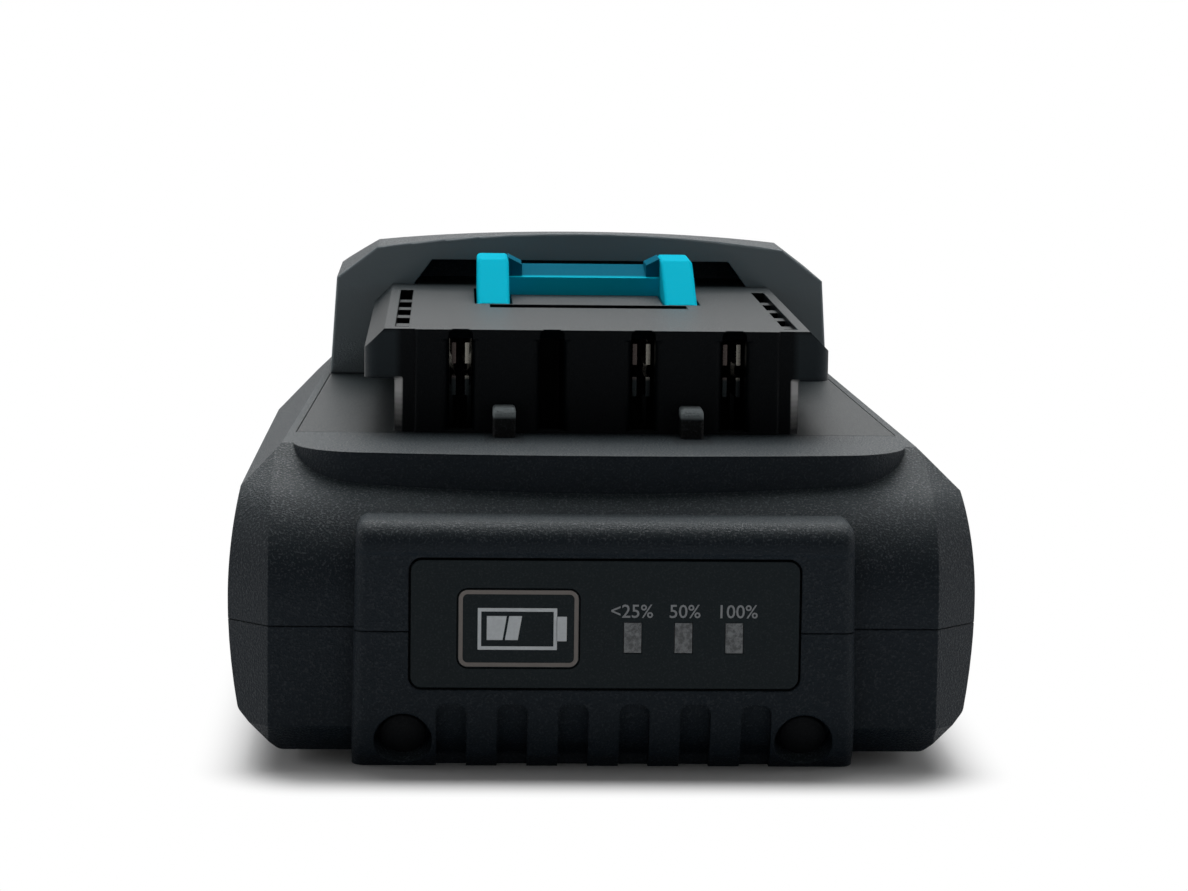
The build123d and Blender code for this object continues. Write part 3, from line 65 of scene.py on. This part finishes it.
# The five cells are steel cans, each in a sleeve of heat-shrunk film. They lie side by side across
# the pack. The film is tight and glossy, and a slight waviness breaks up its highlights.
MM = 0.001


def linear(code):
    """An sRGB hex colour as linear red, green, blue and alpha."""
    parts = [int(code[i:i + 2], 16) / 255 for i in (1, 3, 5)]
    return tuple(p / 12.92 if p <= 0.04045 else ((p + 0.055) / 1.055) ** 2.4 for p in parts) + (1.0,)


def add(tree, kind, settings=None, inputs=None):
    """Adds one node. An input is a value or another node's output socket, by name or by number.
    On a Map Range 0 is the value, 1 and 2 are its range and 3 and 4 the new one. On a Mix of
    colours 0 is the share and 6 and 7 are the colours, and on a Mix of floats 2 and 3 the floats."""
    made = tree.nodes.new("ShaderNode" + kind)
    for name, value in (settings or {}).items():
        setattr(made, name, value)
    for name, value in (inputs or {}).items():
        if isinstance(value, bpy.types.NodeSocket):
            tree.links.new(value, made.inputs[name])
        else:
            made.inputs[name].default_value = value
    return made


def new_material(name):
    """An empty material, as its node tree and its shader."""
    material = bpy.data.materials.new(name)
    material.use_nodes = True
    tree = material.node_tree
    return material, tree, tree.nodes["Principled BSDF"]


def scaled(colour, gain, lift=0.0):
    """A hex colour as linear values, made lighter or darker."""
    return tuple(gain * c + lift for c in linear(colour)[:3]) + (1.0,)


def outside(tree, spot, low, high):
    """How far a point is outside a box, whose corners are in millimetres."""
    middle = [MM * (a + b) / 2 for a, b in zip(low, high)]
    half = [MM * (b - a) / 2 for a, b in zip(low, high)]
    off = add(tree, "VectorMath", {"operation": "SUBTRACT"}, {0: spot, 1: middle})
    off = add(tree, "VectorMath", {"operation": "ABSOLUTE"}, {0: off.outputs[0]})
    off = add(tree, "VectorMath", {"operation": "SUBTRACT"}, {0: off.outputs[0], 1: half})
    off = add(tree, "VectorMath", {"operation": "MAXIMUM"}, {0: off.outputs[0], 1: (0.0, 0.0, 0.0)})
    return add(tree, "VectorMath", {"operation": "LENGTH"}, {0: off.outputs[0]}).outputs["Value"]


def zoned(tree, spot, paint, zones):
    """Gives zones of a surface their own tone. A zone is a box's two corners and the width of its
    soft edge, all in millimetres, and a colour."""
    for low, high, soft, colour in zones:
        share = add(tree, "MapRange",
                    inputs={0: outside(tree, spot, low, high), 1: 0.0, 2: soft * MM, 3: 1.0, 4: 0.0})
        paint = add(tree, "Mix", {"data_type": "RGBA"},
                    {0: share.outputs[0], 6: paint, 7: linear(colour)}).outputs[2]
    return paint


def moulded(name, colour, grain, depth, roughness, tip_glint=0.25, edge=0.25, ior=1.53, gloss=0.12,
            zones=(), smooth=None, play=0.06, top_light_tone=None):
    """Moulded plastic, in which the tool left a grain. Grain, depth and edge are in millimetres.
    Tip glint is the painted highlight on the tips of the grains, and play how much the roughness varies.
    Smooth is a box with hardly any grain, and the top light tone is a painted light tone for faces that
    look up."""
    material, tree, shader = new_material(name)
    spot = add(tree, "TexCoord").outputs["Object"]
    size = {"Vector": spot, "Scale": 1 / (grain * MM), "Detail": 3.0, "Roughness": 0.6}
    grains = add(tree, "TexNoise", inputs=size).outputs["Fac"]

    # The tone drifts a little over the surface, where the melt flowed.
    flow_size, drift = 22 * MM, 0.14
    flow = add(tree, "TexNoise", inputs={"Vector": spot, "Scale": 1 / flow_size, "Detail": 2.0})
    tone = add(tree, "Mix", {"data_type": "RGBA"},
               {0: flow.outputs["Fac"], 6: scaled(colour, 1 - drift), 7: scaled(colour, 1 + drift)})

    # Faces that look up get a painted light tone, and the tips of the grains get a painted highlight,
    # strongest on faces that look up.
    upward = add(tree, "SeparateXYZ", inputs={0: add(tree, "NewGeometry").outputs["Normal"]})
    wall, sloping, top, wall_share = 0.1, 0.3, 0.9, 0.15
    top_light_share = add(tree, "MapRange", inputs={0: upward.outputs["Z"], 1: sloping, 2: top, 3: 0.0, 4: 1.0})
    paint = add(tree, "Mix", {"data_type": "RGBA"},
                {0: top_light_share.outputs[0], 6: tone.outputs[2], 7: linear(top_light_tone or colour)})
    paint = zoned(tree, spot, paint.outputs[2], zones)
    tip_low, tip_high, tip_gain, tip_lift = 0.54, 0.64, 3, 0.12
    lit = add(tree, "MapRange",
              inputs={0: upward.outputs["Z"], 1: wall, 2: top, 3: wall_share * tip_glint, 4: tip_glint})
    bright = add(tree, "MapRange", inputs={0: grains, 1: tip_low, 2: tip_high, 3: 0.0, 4: lit.outputs[0]})
    paint = add(tree, "Mix", {"data_type": "RGBA"},
                {0: bright.outputs[0], 6: paint, 7: scaled(colour, tip_gain, tip_lift)})

    valley, peak = 0.35, 0.65
    rough = add(tree, "MapRange",
                inputs={0: grains, 1: valley, 2: peak, 3: roughness + play, 4: roughness - play})
    soft = add(tree, "Bevel", {"samples": 6}, {"Radius": edge * MM})
    bump = add(tree, "Bump", inputs={"Strength": 1.0, "Distance": depth * MM, "Height": grains,
                                     "Normal": soft.outputs[0]})
    if smooth:
        fade, left_over = 3 * MM, 0.12
        strength = add(tree, "MapRange",
                       inputs={0: outside(tree, spot, *smooth), 1: 0.0, 2: fade, 3: left_over, 4: 1.0})
        tree.links.new(strength.outputs[0], bump.inputs["Strength"])
    tree.links.new(paint.outputs[2], shader.inputs["Base Color"])
    tree.links.new(rough.outputs[0], shader.inputs["Roughness"])
    tree.links.new(bump.outputs[0], shader.inputs["Normal"])
    shader.inputs["IOR"].default_value = ior
    shader.inputs["Specular IOR Level"].default_value = gloss
    return material


def dress(material, slot, *names):
    """Gives CAD nodes a material. The slot is not used."""
    for name in names:
        for place in nodes[name].material_slots:
            place.material = material


sleeve = moulded("shrunk_sleeve", "#2B6E78", grain=0.8, depth=0.01, roughness=0.3, tip_glint=0.0,
                 edge=0.2)
dress(sleeve, "cell_sleeve", *["cell_" + str(n) for n in range(1, 6)])


# Two frames of black ABS hold the cells by their ends. They come from a plain blasted tool, which
# leaves an even dark grey with a faint grain.
frame_abs = moulded("cell_frame_abs", "#232425", grain=0.2, depth=0.01, roughness=0.5, tip_glint=0.05)
dress(frame_abs, "frame_plastic", "cell_frame_left", "cell_frame_right")


# Strips of rolled nickel are spot welded to the cells and join them in a row. Fine rolling marks
# stretch their highlights, and are drawn about a tenth of a millimetre wide so that they show.
def metal(name, colour, roughness, mark, zones=()):
    """Rolled, drawn or stamped metal. Mark is the width in millimetres of the marks along Y."""
    material, tree, shader = new_material(name)
    spot = add(tree, "TexCoord").outputs["Object"]
    squeeze, dull, relief = 0.08, 0.82, 0.004 * MM
    along = add(tree, "Mapping", inputs={"Vector": spot, "Scale": (1.0, squeeze, 1.0)})
    marks = add(tree, "TexNoise",
                inputs={"Vector": along.outputs[0], "Scale": 1 / (mark * MM), "Detail": 3.0})
    tone = add(tree, "Mix", {"data_type": "RGBA"},
               {0: marks.outputs["Fac"], 6: scaled(colour, dull), 7: linear(colour)})
    paint = zoned(tree, spot, tone.outputs[2], zones)
    smoother, rougher = roughness - 0.06, roughness + 0.08
    rough = add(tree, "MapRange",
                inputs={0: marks.outputs["Fac"], 1: 0.3, 2: 0.7, 3: smoother, 4: rougher})
    bump = add(tree, "Bump",
               inputs={"Strength": 0.4, "Distance": relief, "Height": marks.outputs["Fac"]})
    tree.links.new(paint, shader.inputs["Base Color"])
    tree.links.new(rough.outputs[0], shader.inputs["Roughness"])
    tree.links.new(bump.outputs[0], shader.inputs["Normal"])
    shader.inputs["Metallic"].default_value = 1.0
    return material


nickel = metal("rolled_nickel", "#BDB9AE", roughness=0.3, mark=0.1)
strips = ["bridge_strip_" + str(n) for n in range(1, 5)]
dress(nickel, "strip_nickel", "positive_strip", "negative_strip", *strips)


# The main board, over the cells, and the small gauge board, behind the panel, are glass laminate
# under a green solder mask. The weave of the glass shows through as a faint unevenness.
WEAVE = 0.6 * MM
mask, tree, shader = new_material("solder_mask_on_laminate")
spot = add(tree, "TexCoord").outputs["Object"]
weave = add(tree, "TexNoise", inputs={"Vector": spot, "Scale": 1 / WEAVE, "Detail": 2.0})
tone = add(tree, "Mix", {"data_type": "RGBA"},
           {0: weave.outputs["Fac"], 6: linear("#0C3B22"), 7: linear("#14552F")})
bump = add(tree, "Bump",
           inputs={"Strength": 0.5, "Distance": 0.01 * MM, "Height": weave.outputs["Fac"]})
tree.links.new(tone.outputs[2], shader.inputs["Base Color"])
tree.links.new(bump.outputs[0], shader.inputs["Normal"])
shader.inputs["Roughness"].default_value = 0.35
dress(mask, "board_laminate", "gauge_board", "main_board")


# The transistors, the control chip and the tactile switch are soldered to the boards. Their cases
# are moulded in black epoxy, which is dull. Its grain is too fine to show at its real size, and is
# drawn at 0.08 mm.
chip_resin = moulded("moulded_epoxy", "#1A1A1B", grain=0.08, depth=0.004, roughness=0.55, tip_glint=0.1,
                     edge=0.08)
dress(chip_resin, "chip_resin", "power_transistors", "control_chip")
dress(chip_resin, "switch_plastic", "tact_switch", "tact_plunger")


# The charge diodes and the thermistor are potted in clear epoxy, which looks pale and glossy.
# The diodes stand on the gauge board. The thermistor lies over the middle cell, on the paper sheet,
# and its two legs rise to the main board.
diode_resin = moulded("clear_epoxy", "#D8D6C6", grain=0.3, depth=0.004, roughness=0.2, tip_glint=0.0,
                      edge=0.08)
dress(diode_resin, "led_resin", "charge_leds", "thermistor")


# A flat ribbon of polyester film joins the two boards. It is pale and smooth, and its conductors
# make it very slightly uneven.
film = moulded("polyester_film", "#CFCFCB", grain=0.4, depth=0.003, roughness=0.3, tip_glint=0.0,
               edge=0.05)
dress(film, "ribbon_film", "gauge_ribbon")


# A sheet of pressed paper keeps the cells apart from the main board. It is dull, with fine fibres.
# The fibres are much finer than a tenth of a millimetre, and are drawn coarser so that they show.
paper = moulded("pressed_paper", "#5E7364", grain=0.12, depth=0.01, roughness=0.85, tip_glint=0.1,
                edge=0.03)
dress(paper, "insulation_paper", "insulation_sheet")


# The contacts are stamped from copper alloy, tin plated and soldered to the main board. The leaves are
# bright, with fine draw marks. The left leaf of each pair is drawn darker, and the feet and the low parts
# of the leaves get painted shade, nearly black.
leaf_pairs = (-14.69, 4.9, 14.69)
dark_left_leaves_and_low_shade = [((x - 1.4, -30, 30), (x - 0.1, -20, 45), 0.1, "#403A38") for x in leaf_pairs]
# Painted shade over the low parts of the contacts.
dark_left_leaves_and_low_shade.append(((-20, -40, 20), (20, 30, 36.3), 0.6, "#1C2021"))
tinned = metal("tinned_copper", "#8C8A82", roughness=0.28, mark=0.12, zones=dark_left_leaves_and_low_shade)
dress(tinned, "contact_metal", "contact_negative", "contact_sense", "contact_positive")


# A block of black PBT on the main board guides the leaves behind the slots. It is moulded in a
# fine tool, and looks near black with soft highlights.
holder_pbt = moulded("moulded_pbt", "#131416", grain=0.16, depth=0.01, roughness=0.5, tip_glint=0.05,
                     edge=0.1)
dress(holder_pbt, "holder_plastic", "contact_holder")


# The light pipe is one clear polycarbonate moulding, glued behind the panel. Its three window
# faces are frosted, and unlit they show as mottled grey.
MOTTLE, MOTTLE_DEPTH = 0.5 * MM, 0.03 * MM
frosted, tree, shader = new_material("frosted_polycarbonate")
spot = add(tree, "TexCoord").outputs["Object"]
mottle = add(tree, "TexNoise",
             inputs={"Vector": spot, "Scale": 1 / MOTTLE, "Detail": 5.0, "Roughness": 0.75})
share = add(tree, "MapRange", inputs={0: mottle.outputs["Fac"], 1: 0.42, 2: 0.58, 3: 0.0, 4: 1.0})
tone = add(tree, "Mix", {"data_type": "RGBA"},
           {0: share.outputs[0], 6: linear("#2A2E31"), 7: linear("#63676A")})
bump = add(tree, "Bump",
           inputs={"Strength": 1.0, "Distance": MOTTLE_DEPTH, "Height": mottle.outputs["Fac"]})
tree.links.new(tone.outputs[2], shader.inputs["Base Color"])
tree.links.new(bump.outputs[0], shader.inputs["Normal"])
shader.inputs["Roughness"].default_value = 0.45
shader.inputs["IOR"].default_value = 1.585
dress(frosted, "light_pipe", "light_pipe")


# The indicator panel is a flat ABS plate in the bumper, and the key of the switch sits in it. Both
# faces come from a finely blasted tool, so they look flatter and calmer than the bumper round them.
# The real grain is under a tenth of a millimetre, and is drawn coarser so that it shows.
panel_abs = moulded("blasted_abs", "#0E181C", grain=0.2, depth=0.015, roughness=0.5, tip_glint=0.3,
                    edge=0.12)
dress(panel_abs, "panel_plastic", "indicator_panel")
dress(panel_abs, "key_plastic", "switch_key")


# A line and a pictogram are pad-printed on the key, and figures on the panel, in pale inks that lie
# a few hundredths of a millimetre proud. The pad leaves the ink thinner in patches.
INK = 0.03 * MM
face_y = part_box("indicator_panel")[0].y


def printed(name, colour):
    """Pad-printed ink, with patches about 0.3 mm wide where it is thinner."""
    material, tree, shader = new_material(name)
    spot = add(tree, "TexCoord").outputs["Object"]
    patch_size, thinner = 0.3 * MM, 0.78
    patch = add(tree, "TexNoise", inputs={"Vector": spot, "Scale": 1 / patch_size, "Detail": 2.0})
    tone = add(tree, "Mix", {"data_type": "RGBA"},
               {0: patch.outputs["Fac"], 6: scaled(colour, thinner), 7: linear(colour)})
    tree.links.new(tone.outputs[2], shader.inputs["Base Color"])
    shader.inputs["Roughness"].default_value = 0.5
    return material


def rounded(x0, x1, z0, z1, radius, steps=8):
    """The points of a rectangle with round corners, in X and Z."""
    points = []
    corners = [(x1 - radius, z1 - radius, 0), (x0 + radius, z1 - radius, 1),
               (x0 + radius, z0 + radius, 2), (x1 - radius, z0 + radius, 3)]
    for x, z, quarter in corners:
        for step in range(steps + 1):
            turn = (quarter + step / steps) * pi / 2
            points.append((x + radius * cos(turn), z + radius * sin(turn)))
    return points


def frame_ring(x0, x1, z0, z1, radius, line):
    """A printed line round a rectangle, as its outer and inner outline. Line is its width."""
    sharpest = 0.02 * MM
    inner = max(radius - line, sharpest)
    return [rounded(x0, x1, z0, z1, radius),
            rounded(x0 + line, x1 - line, z0 + line, z1 - line, inner)]


def ink_piece(name, shapes, material):
    """Printed shapes on the key, as one thin closed piece. A shape is one outline, or an outer and
    an inner one."""
    mesh = bmesh.new()
    for shape in shapes:
        rings = [[[mesh.verts.new((x, y, z)) for x, z in ring] for y in (face_y - INK, face_y + INK)]
                 for ring in shape]
        count = len(shape[0])
        for front, back in rings:
            for i in range(count):
                j = (i + 1) % count
                mesh.faces.new((front[i], front[j], back[j], back[i]))
        for side in (0, 1):
            if len(rings) == 1:
                mesh.faces.new(rings[0][side])
            else:
                outer, inner = rings[0][side], rings[1][side]
                for i in range(count):
                    j = (i + 1) % count
                    mesh.faces.new((outer[i], outer[j], inner[j], inner[i]))
    bmesh.ops.recalc_face_normals(mesh, faces=mesh.faces)
    data = bpy.data.meshes.new(name)
    mesh.to_mesh(data)
    mesh.free()
    data.materials.append(material)
    piece = bpy.data.objects.new(name, data)
    bpy.context.scene.collection.objects.link(piece)
    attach(piece, "key")


warm_ink = printed("warm_grey_ink", "#6E6864")
white_ink = printed("white_ink", "#C6CCD0")
grey_ink = printed("grey_ink", "#83878B")
switch_line = frame_ring(-14.75 * MM, -2.71 * MM, 10.77 * MM, 18.57 * MM,
                         radius=0.9 * MM, line=0.41 * MM)
ink_piece("switch_line", [switch_line], warm_ink)

# The pictogram is a battery that is half full: its outline, its nub and two slanted blocks.
case = frame_ring(-12.83 * MM, -4.85 * MM, 12.5 * MM, 16.75 * MM,
                  radius=0.05 * MM, line=0.35 * MM)
nub = [[(x * MM, z * MM) for x, z in ((-4.9, 13.4), (-3.87, 13.4), (-3.87, 15.9), (-4.9, 15.9))]]
blocks = []
SLANT, BLOCK_FOOT, BLOCK_TOP = 0.42, 13.5, 15.94
for left, right, lean in ((-11.92, -10.33, 0.0), (-10.08, -8.8, SLANT)):
    corners = ((left, BLOCK_FOOT), (right, BLOCK_FOOT), (right + SLANT, BLOCK_TOP),
               (left + lean, BLOCK_TOP))
    blocks.append([[(x * MM, z * MM) for x, z in corners]])
ink_piece("battery_pictogram", [case, nub] + blocks, white_ink)

# The figures over the windows say how full the pack is. A digit of the typeface is a share of the
# size that Blender is given, and the strokes are drawn a little bolder than it has them.
FIGURE_HEIGHT = 1.4 * MM
FIGURE_FOOT = 15.85 * MM
DIGIT_SHARE = 0.729
BOLDER = 0.01 * MM
for place, words in ((2.66, "<25%"), (8.0, "50%"), (13.3, "100%")):
    writing = bpy.data.curves.new("figure", "FONT")
    writing.body = words
    writing.align_x = "CENTER"
    writing.size = FIGURE_HEIGHT / DIGIT_SHARE
    writing.extrude = INK
    writing.offset = BOLDER
    writing.resolution_u = 3
    mould = bpy.data.objects.new("figure", writing)
    bpy.context.scene.collection.objects.link(mould)
    bpy.context.view_layer.update()
    data = bpy.data.meshes.new_from_object(mould)
    bpy.data.objects.remove(mould)
    upright = Matrix.Translation((place * MM, face_y, FIGURE_FOOT)) @ Matrix.Rotation(pi / 2, 4, "X")
    data.transform(upright)
    data.materials.clear()
    data.materials.append(grey_ink)
    piece = bpy.data.objects.new("figures_" + words.strip("<%"), data)
    bpy.context.scene.collection.objects.link(piece)
    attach(piece, "housing")


# The two shells are injection moulded from black PC/ABS in a spark-eroded tool. The eroded grain looks
# like fine dark sand, and a painted light tone and painted highlights on the grain tips brighten the
# faces that look up, such as the nose and the deck. The real grain is about a tenth of a millimetre, and
# it is drawn twice as coarse so that it shows.

# The front of the hood is given painted light, a lighter grey, and its top is smoother. The two posts in
# front of the slots are given painted shade below and a painted highlight on their caps.
hood_front_painted_light = ((-40, 26.7, 31.3), (40, 27.2, 49), 0.3, "#687175")
hood_top = ((-40, 27, 36), (40, 60, 50))
post_painted_shade = [((x - 2, -38, 31.2), (x + 2, -29, 32.9), 0.3, "#010304") for x in (-10, 10)]
post_cap_painted_highlight = [((x - 1.3, -38, 33.3), (x + 1.3, -29, 34.3), 0.3, "#7C8486") for x in (-10, 10)]
shell_abs = moulded("spark_eroded_abs", "#0A151D", grain=0.22, depth=0.15, roughness=0.5, tip_glint=0.6,
                    gloss=0.15, play=0.1, top_light_tone="#2A3337",
                    zones=[hood_front_painted_light] + post_painted_shade + post_cap_painted_highlight, smooth=hood_top)
dress(shell_abs, "housing_plastic", "lower_housing", "upper_housing")


# The bumper's plugs are soft black rubber, pressed into round pockets of the lower shell. They are
# dull and take the light softly.
plug_rubber = moulded("moulded_rubber", "#080B0E", grain=0.2, depth=0.02, roughness=0.7, tip_glint=0.1,
                      gloss=0.1)
dress(plug_rubber, "plug_rubber", "bumper_plugs")


# The rail plate is moulded in glass-filled nylon, which wears better than ABS, and welded into
# the upper shell. Its tool is finely blasted, so its walls are darker and smoother than the shells.
# The real grain is under a tenth of a millimetre, and is drawn coarser so that it shows.

# The front corners of the webs get a painted highlight, brightest at the top, and the noses of the rails
# are drawn a lighter grey.
WEB_CORNER, NOSE = 21.35, 24.2
BANDS, BAND_RISE, LOWEST_BAND = 7, 0.6, 31.8
FIRST_GREY, GREY_RISE = 0x40, 0x14
web_glints_and_grey_noses = []
for x in (-WEB_CORNER, WEB_CORNER):
    for band in range(BANDS):
        grey = "#" + 3 * ("%02X" % (FIRST_GREY + GREY_RISE * band))
        foot = LOWEST_BAND + BAND_RISE * band
        # Painted highlight on each web corner, in bands that grow lighter upward.
        web_glints_and_grey_noses.append(((x - 0.25, -28.6, foot), (x + 0.25, -28.1, 36.7), 0.35, grey))
for x in (-NOSE, NOSE):
    web_glints_and_grey_noses.append(((x - 2.4, -30, 37.2), (x + 2.4, -28, 41.6), 0.8, "#272E32"))
# Faces that look up get a painted light tone.
rail_nylon = moulded("blasted_nylon", "#02060A", grain=0.16, depth=0.05, roughness=0.4, tip_glint=0.15,
                     gloss=0.06, top_light_tone="#2C3234", zones=web_glints_and_grey_noses)
dress(rail_nylon, "rail_plastic", "rail_plate")


# The latch is one acetal moulding in teal, guided by the rail plate. Its satin skin keeps the full
# colour, with hardly any gloss. Its bar is a deeper tone, as it lies in the shade of the hood.
shaded_bar = ((-8.9, 13, 44.35), (8.9, 22, 47), 0.15, "#00627A")
latch_acetal = moulded("teal_acetal", "#00BCD8", grain=0.3, depth=0.006, roughness=0.75, tip_glint=0.0,
                       edge=0.3, ior=1.48, gloss=0.012, zones=[shaded_bar])
dress(latch_acetal, "latch_plastic", "latch")


# Two springs of drawn wire stand on the main board and lift the latch. The wire is bright, with marks
# along it.
wire = metal("drawn_spring_wire", "#8E8E8C", roughness=0.3, mark=0.08)
for side in ("left", "right"):
    node = "latch_spring_" + side
    dress(wire, "spring_steel", node)
    foot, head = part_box(node)
    spring = bpy.data.objects.new("spring_" + side, nodes[node].data.copy())
    bpy.context.scene.collection.objects.link(spring)
    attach(spring, "housing")
    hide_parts(node)
    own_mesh(spring)


# Four steel screws hold the shells together from below, deep in the bores of the lower shell. They
# are zinc plated, which looks a soft, even grey.
zinc = metal("zinc_plate", "#9A9C9E", roughness=0.32, mark=0.1)
dress(zinc, "screw_steel", "housing_screws")


# The floor is a pale sheet of matt card, which takes the pack's shadow. A little way off the pack
# it turns to plain white for the camera, in gloss and through clear pieces, and lights nothing.
card, tree, shader = new_material("pale_card")
path = add(tree, "LightPath")
white = add(tree, "Emission", inputs={"Color": (1.0, 1.0, 1.0, 1.0), "Strength": 1.0})
shader.inputs["Base Color"].default_value = linear("#F4F4F4")
shader.inputs["Roughness"].default_value = 0.9
footprint_low, footprint_high = (-29, -56, -1), (29, 56, 1)
shade_end, white_start = 3.5 * MM, 13 * MM
away = outside(tree, add(tree, "TexCoord").outputs["Object"], footprint_low, footprint_high)
whiter = add(tree, "MapRange", {"interpolation_type": "SMOOTHSTEP"},
             {0: away, 1: shade_end, 2: white_start, 3: 0.0, 4: 1.0})
seen = add(tree, "Math", {"operation": "MAXIMUM"},
           {0: path.outputs["Is Camera Ray"], 1: path.outputs["Is Glossy Ray"]})
seen = add(tree, "Math", {"operation": "MAXIMUM"},
           {0: seen.outputs[0], 1: path.outputs["Is Transmission Ray"]})
share = add(tree, "Math", {"operation": "MULTIPLY"}, {0: seen.outputs[0], 1: whiter.outputs[0]})
blend = add(tree, "MixShader", inputs={0: share.outputs[0], 1: shader.outputs[0], 2: white.outputs[0]})
tree.links.new(blend.outputs[0], tree.nodes["Material Output"].inputs["Surface"])

FLOOR_REACH = 3.0
FLOOR_DROP = 0.02 * MM
mesh = bmesh.new()
bmesh.ops.create_grid(mesh, x_segments=4, y_segments=4, size=FLOOR_REACH)
data = bpy.data.meshes.new("floor")
mesh.to_mesh(data)
mesh.free()
data.materials.append(card)
floor = bpy.data.objects.new("floor", data)
bpy.context.scene.collection.objects.link(floor)
floor.location.z = -FLOOR_DROP


# The room is a white sweep that the camera sees as plain white. It dims overhead in front of the
# pack and stays bright behind it, where the tops of the pack mirror it. It lights little itself.
# Way is a direction of length one, so the ranges are its shares upward and to the rear.
AHEAD_LOW, AHEAD_HIGH = 0.6, 0.05
BEHIND_LOW, BEHIND_HIGH = 0.82, 1.0
BEHIND_LIGHT = 0.35
room = bpy.data.worlds.new("studio")
bpy.context.scene.world = room
room.use_nodes = True
tree = room.node_tree
path = add(tree, "LightPath")
way = add(tree, "SeparateXYZ", inputs={0: add(tree, "TexCoord").outputs["Generated"]})
ahead_level = add(tree, "MapRange", {"interpolation_type": "SMOOTHSTEP"},
                  {0: way.outputs["Z"], 1: 0.1, 2: 0.4, 3: AHEAD_LOW, 4: AHEAD_HIGH})
mirrored = add(tree, "MapRange", {"interpolation_type": "SMOOTHSTEP"},
               {0: way.outputs["Z"], 1: 0.25, 2: 0.75, 3: BEHIND_LOW, 4: BEHIND_HIGH})
behind_level = add(tree, "Mix", {"data_type": "FLOAT"},
                   {0: path.outputs["Is Glossy Ray"], 2: BEHIND_LIGHT, 3: mirrored.outputs[0]})
around = add(tree, "MapRange", {"interpolation_type": "SMOOTHSTEP"},
             {0: way.outputs["Y"], 1: -0.3, 2: 0.6, 3: ahead_level.outputs[0],
              4: behind_level.outputs[0]})
level = add(tree, "Mix", {"data_type": "FLOAT"},
            {0: path.outputs["Is Camera Ray"], 2: around.outputs[0], 3: 1.0})
tree.links.new(level.outputs[0], tree.nodes["Background"].inputs["Strength"])
tree.nodes["Background"].inputs["Color"].default_value = (1.0, 1.0, 1.0, 1.0)


# Four softboxes light the pack: a large one overhead, which draws the highlight on the nose, one
# behind for the rims, and one at each side. Places and sizes are in metres and power is in watts.
def softbox(name, place, width, height, power):
    """A rectangular area lamp that faces the middle of the pack."""
    lamp = bpy.data.lights.new(name, "AREA")
    lamp.shape = "RECTANGLE"
    lamp.size = width
    lamp.size_y = height
    lamp.energy = power
    stand = bpy.data.objects.new(name, lamp)
    bpy.context.scene.collection.objects.link(stand)
    stand.location = place
    aim = (cad_low + cad_high) / 2 - Vector(place)
    stand.rotation_euler = aim.to_track_quat("-Z", "Y").to_euler()


softbox("top_softbox", (0.0, 0.16, 0.48), width=0.3, height=0.3, power=1.6)
softbox("rear_softbox", (0.0, 0.42, 0.42), width=0.5, height=0.35, power=1.2)
softbox("left_softbox", (-0.55, 0.05, 0.16), width=0.3, height=0.35, power=0.45)
softbox("right_softbox", (0.55, 0.05, 0.16), width=0.3, height=0.35, power=0.45)


# The camera stands low in front of the bumper, a little to the left, with a long lens. Its angles
# are in radians: it turns to the right by the yaw, looks down by the pitch and leans by the roll.
CAMERA = (-15.66 * MM, -418.47 * MM, 80.66 * MM)
YAW = 0.0395
PITCH = 0.1301
ROLL = 0.0123
ahead = Vector((sin(YAW) * cos(PITCH), cos(YAW) * cos(PITCH), -sin(PITCH)))
level_right = Vector((cos(YAW), -sin(YAW), 0.0))
level_up = level_right.cross(ahead)
right = level_right * cos(ROLL) + level_up * sin(ROLL)
up = level_up * cos(ROLL) - level_right * sin(ROLL)
lens = bpy.data.cameras.new("camera")
lens.lens = 110.73
lens.sensor_width = 36.0
lens.clip_start = 0.01
camera = bpy.data.objects.new("camera", lens)
bpy.context.scene.collection.objects.link(camera)
camera.matrix_world = Matrix.Translation(CAMERA) @ Matrix((right, up, -ahead)).transposed().to_4x4()
bpy.context.scene.camera = camera
bpy.context.scene.view_settings.view_transform = "Standard"
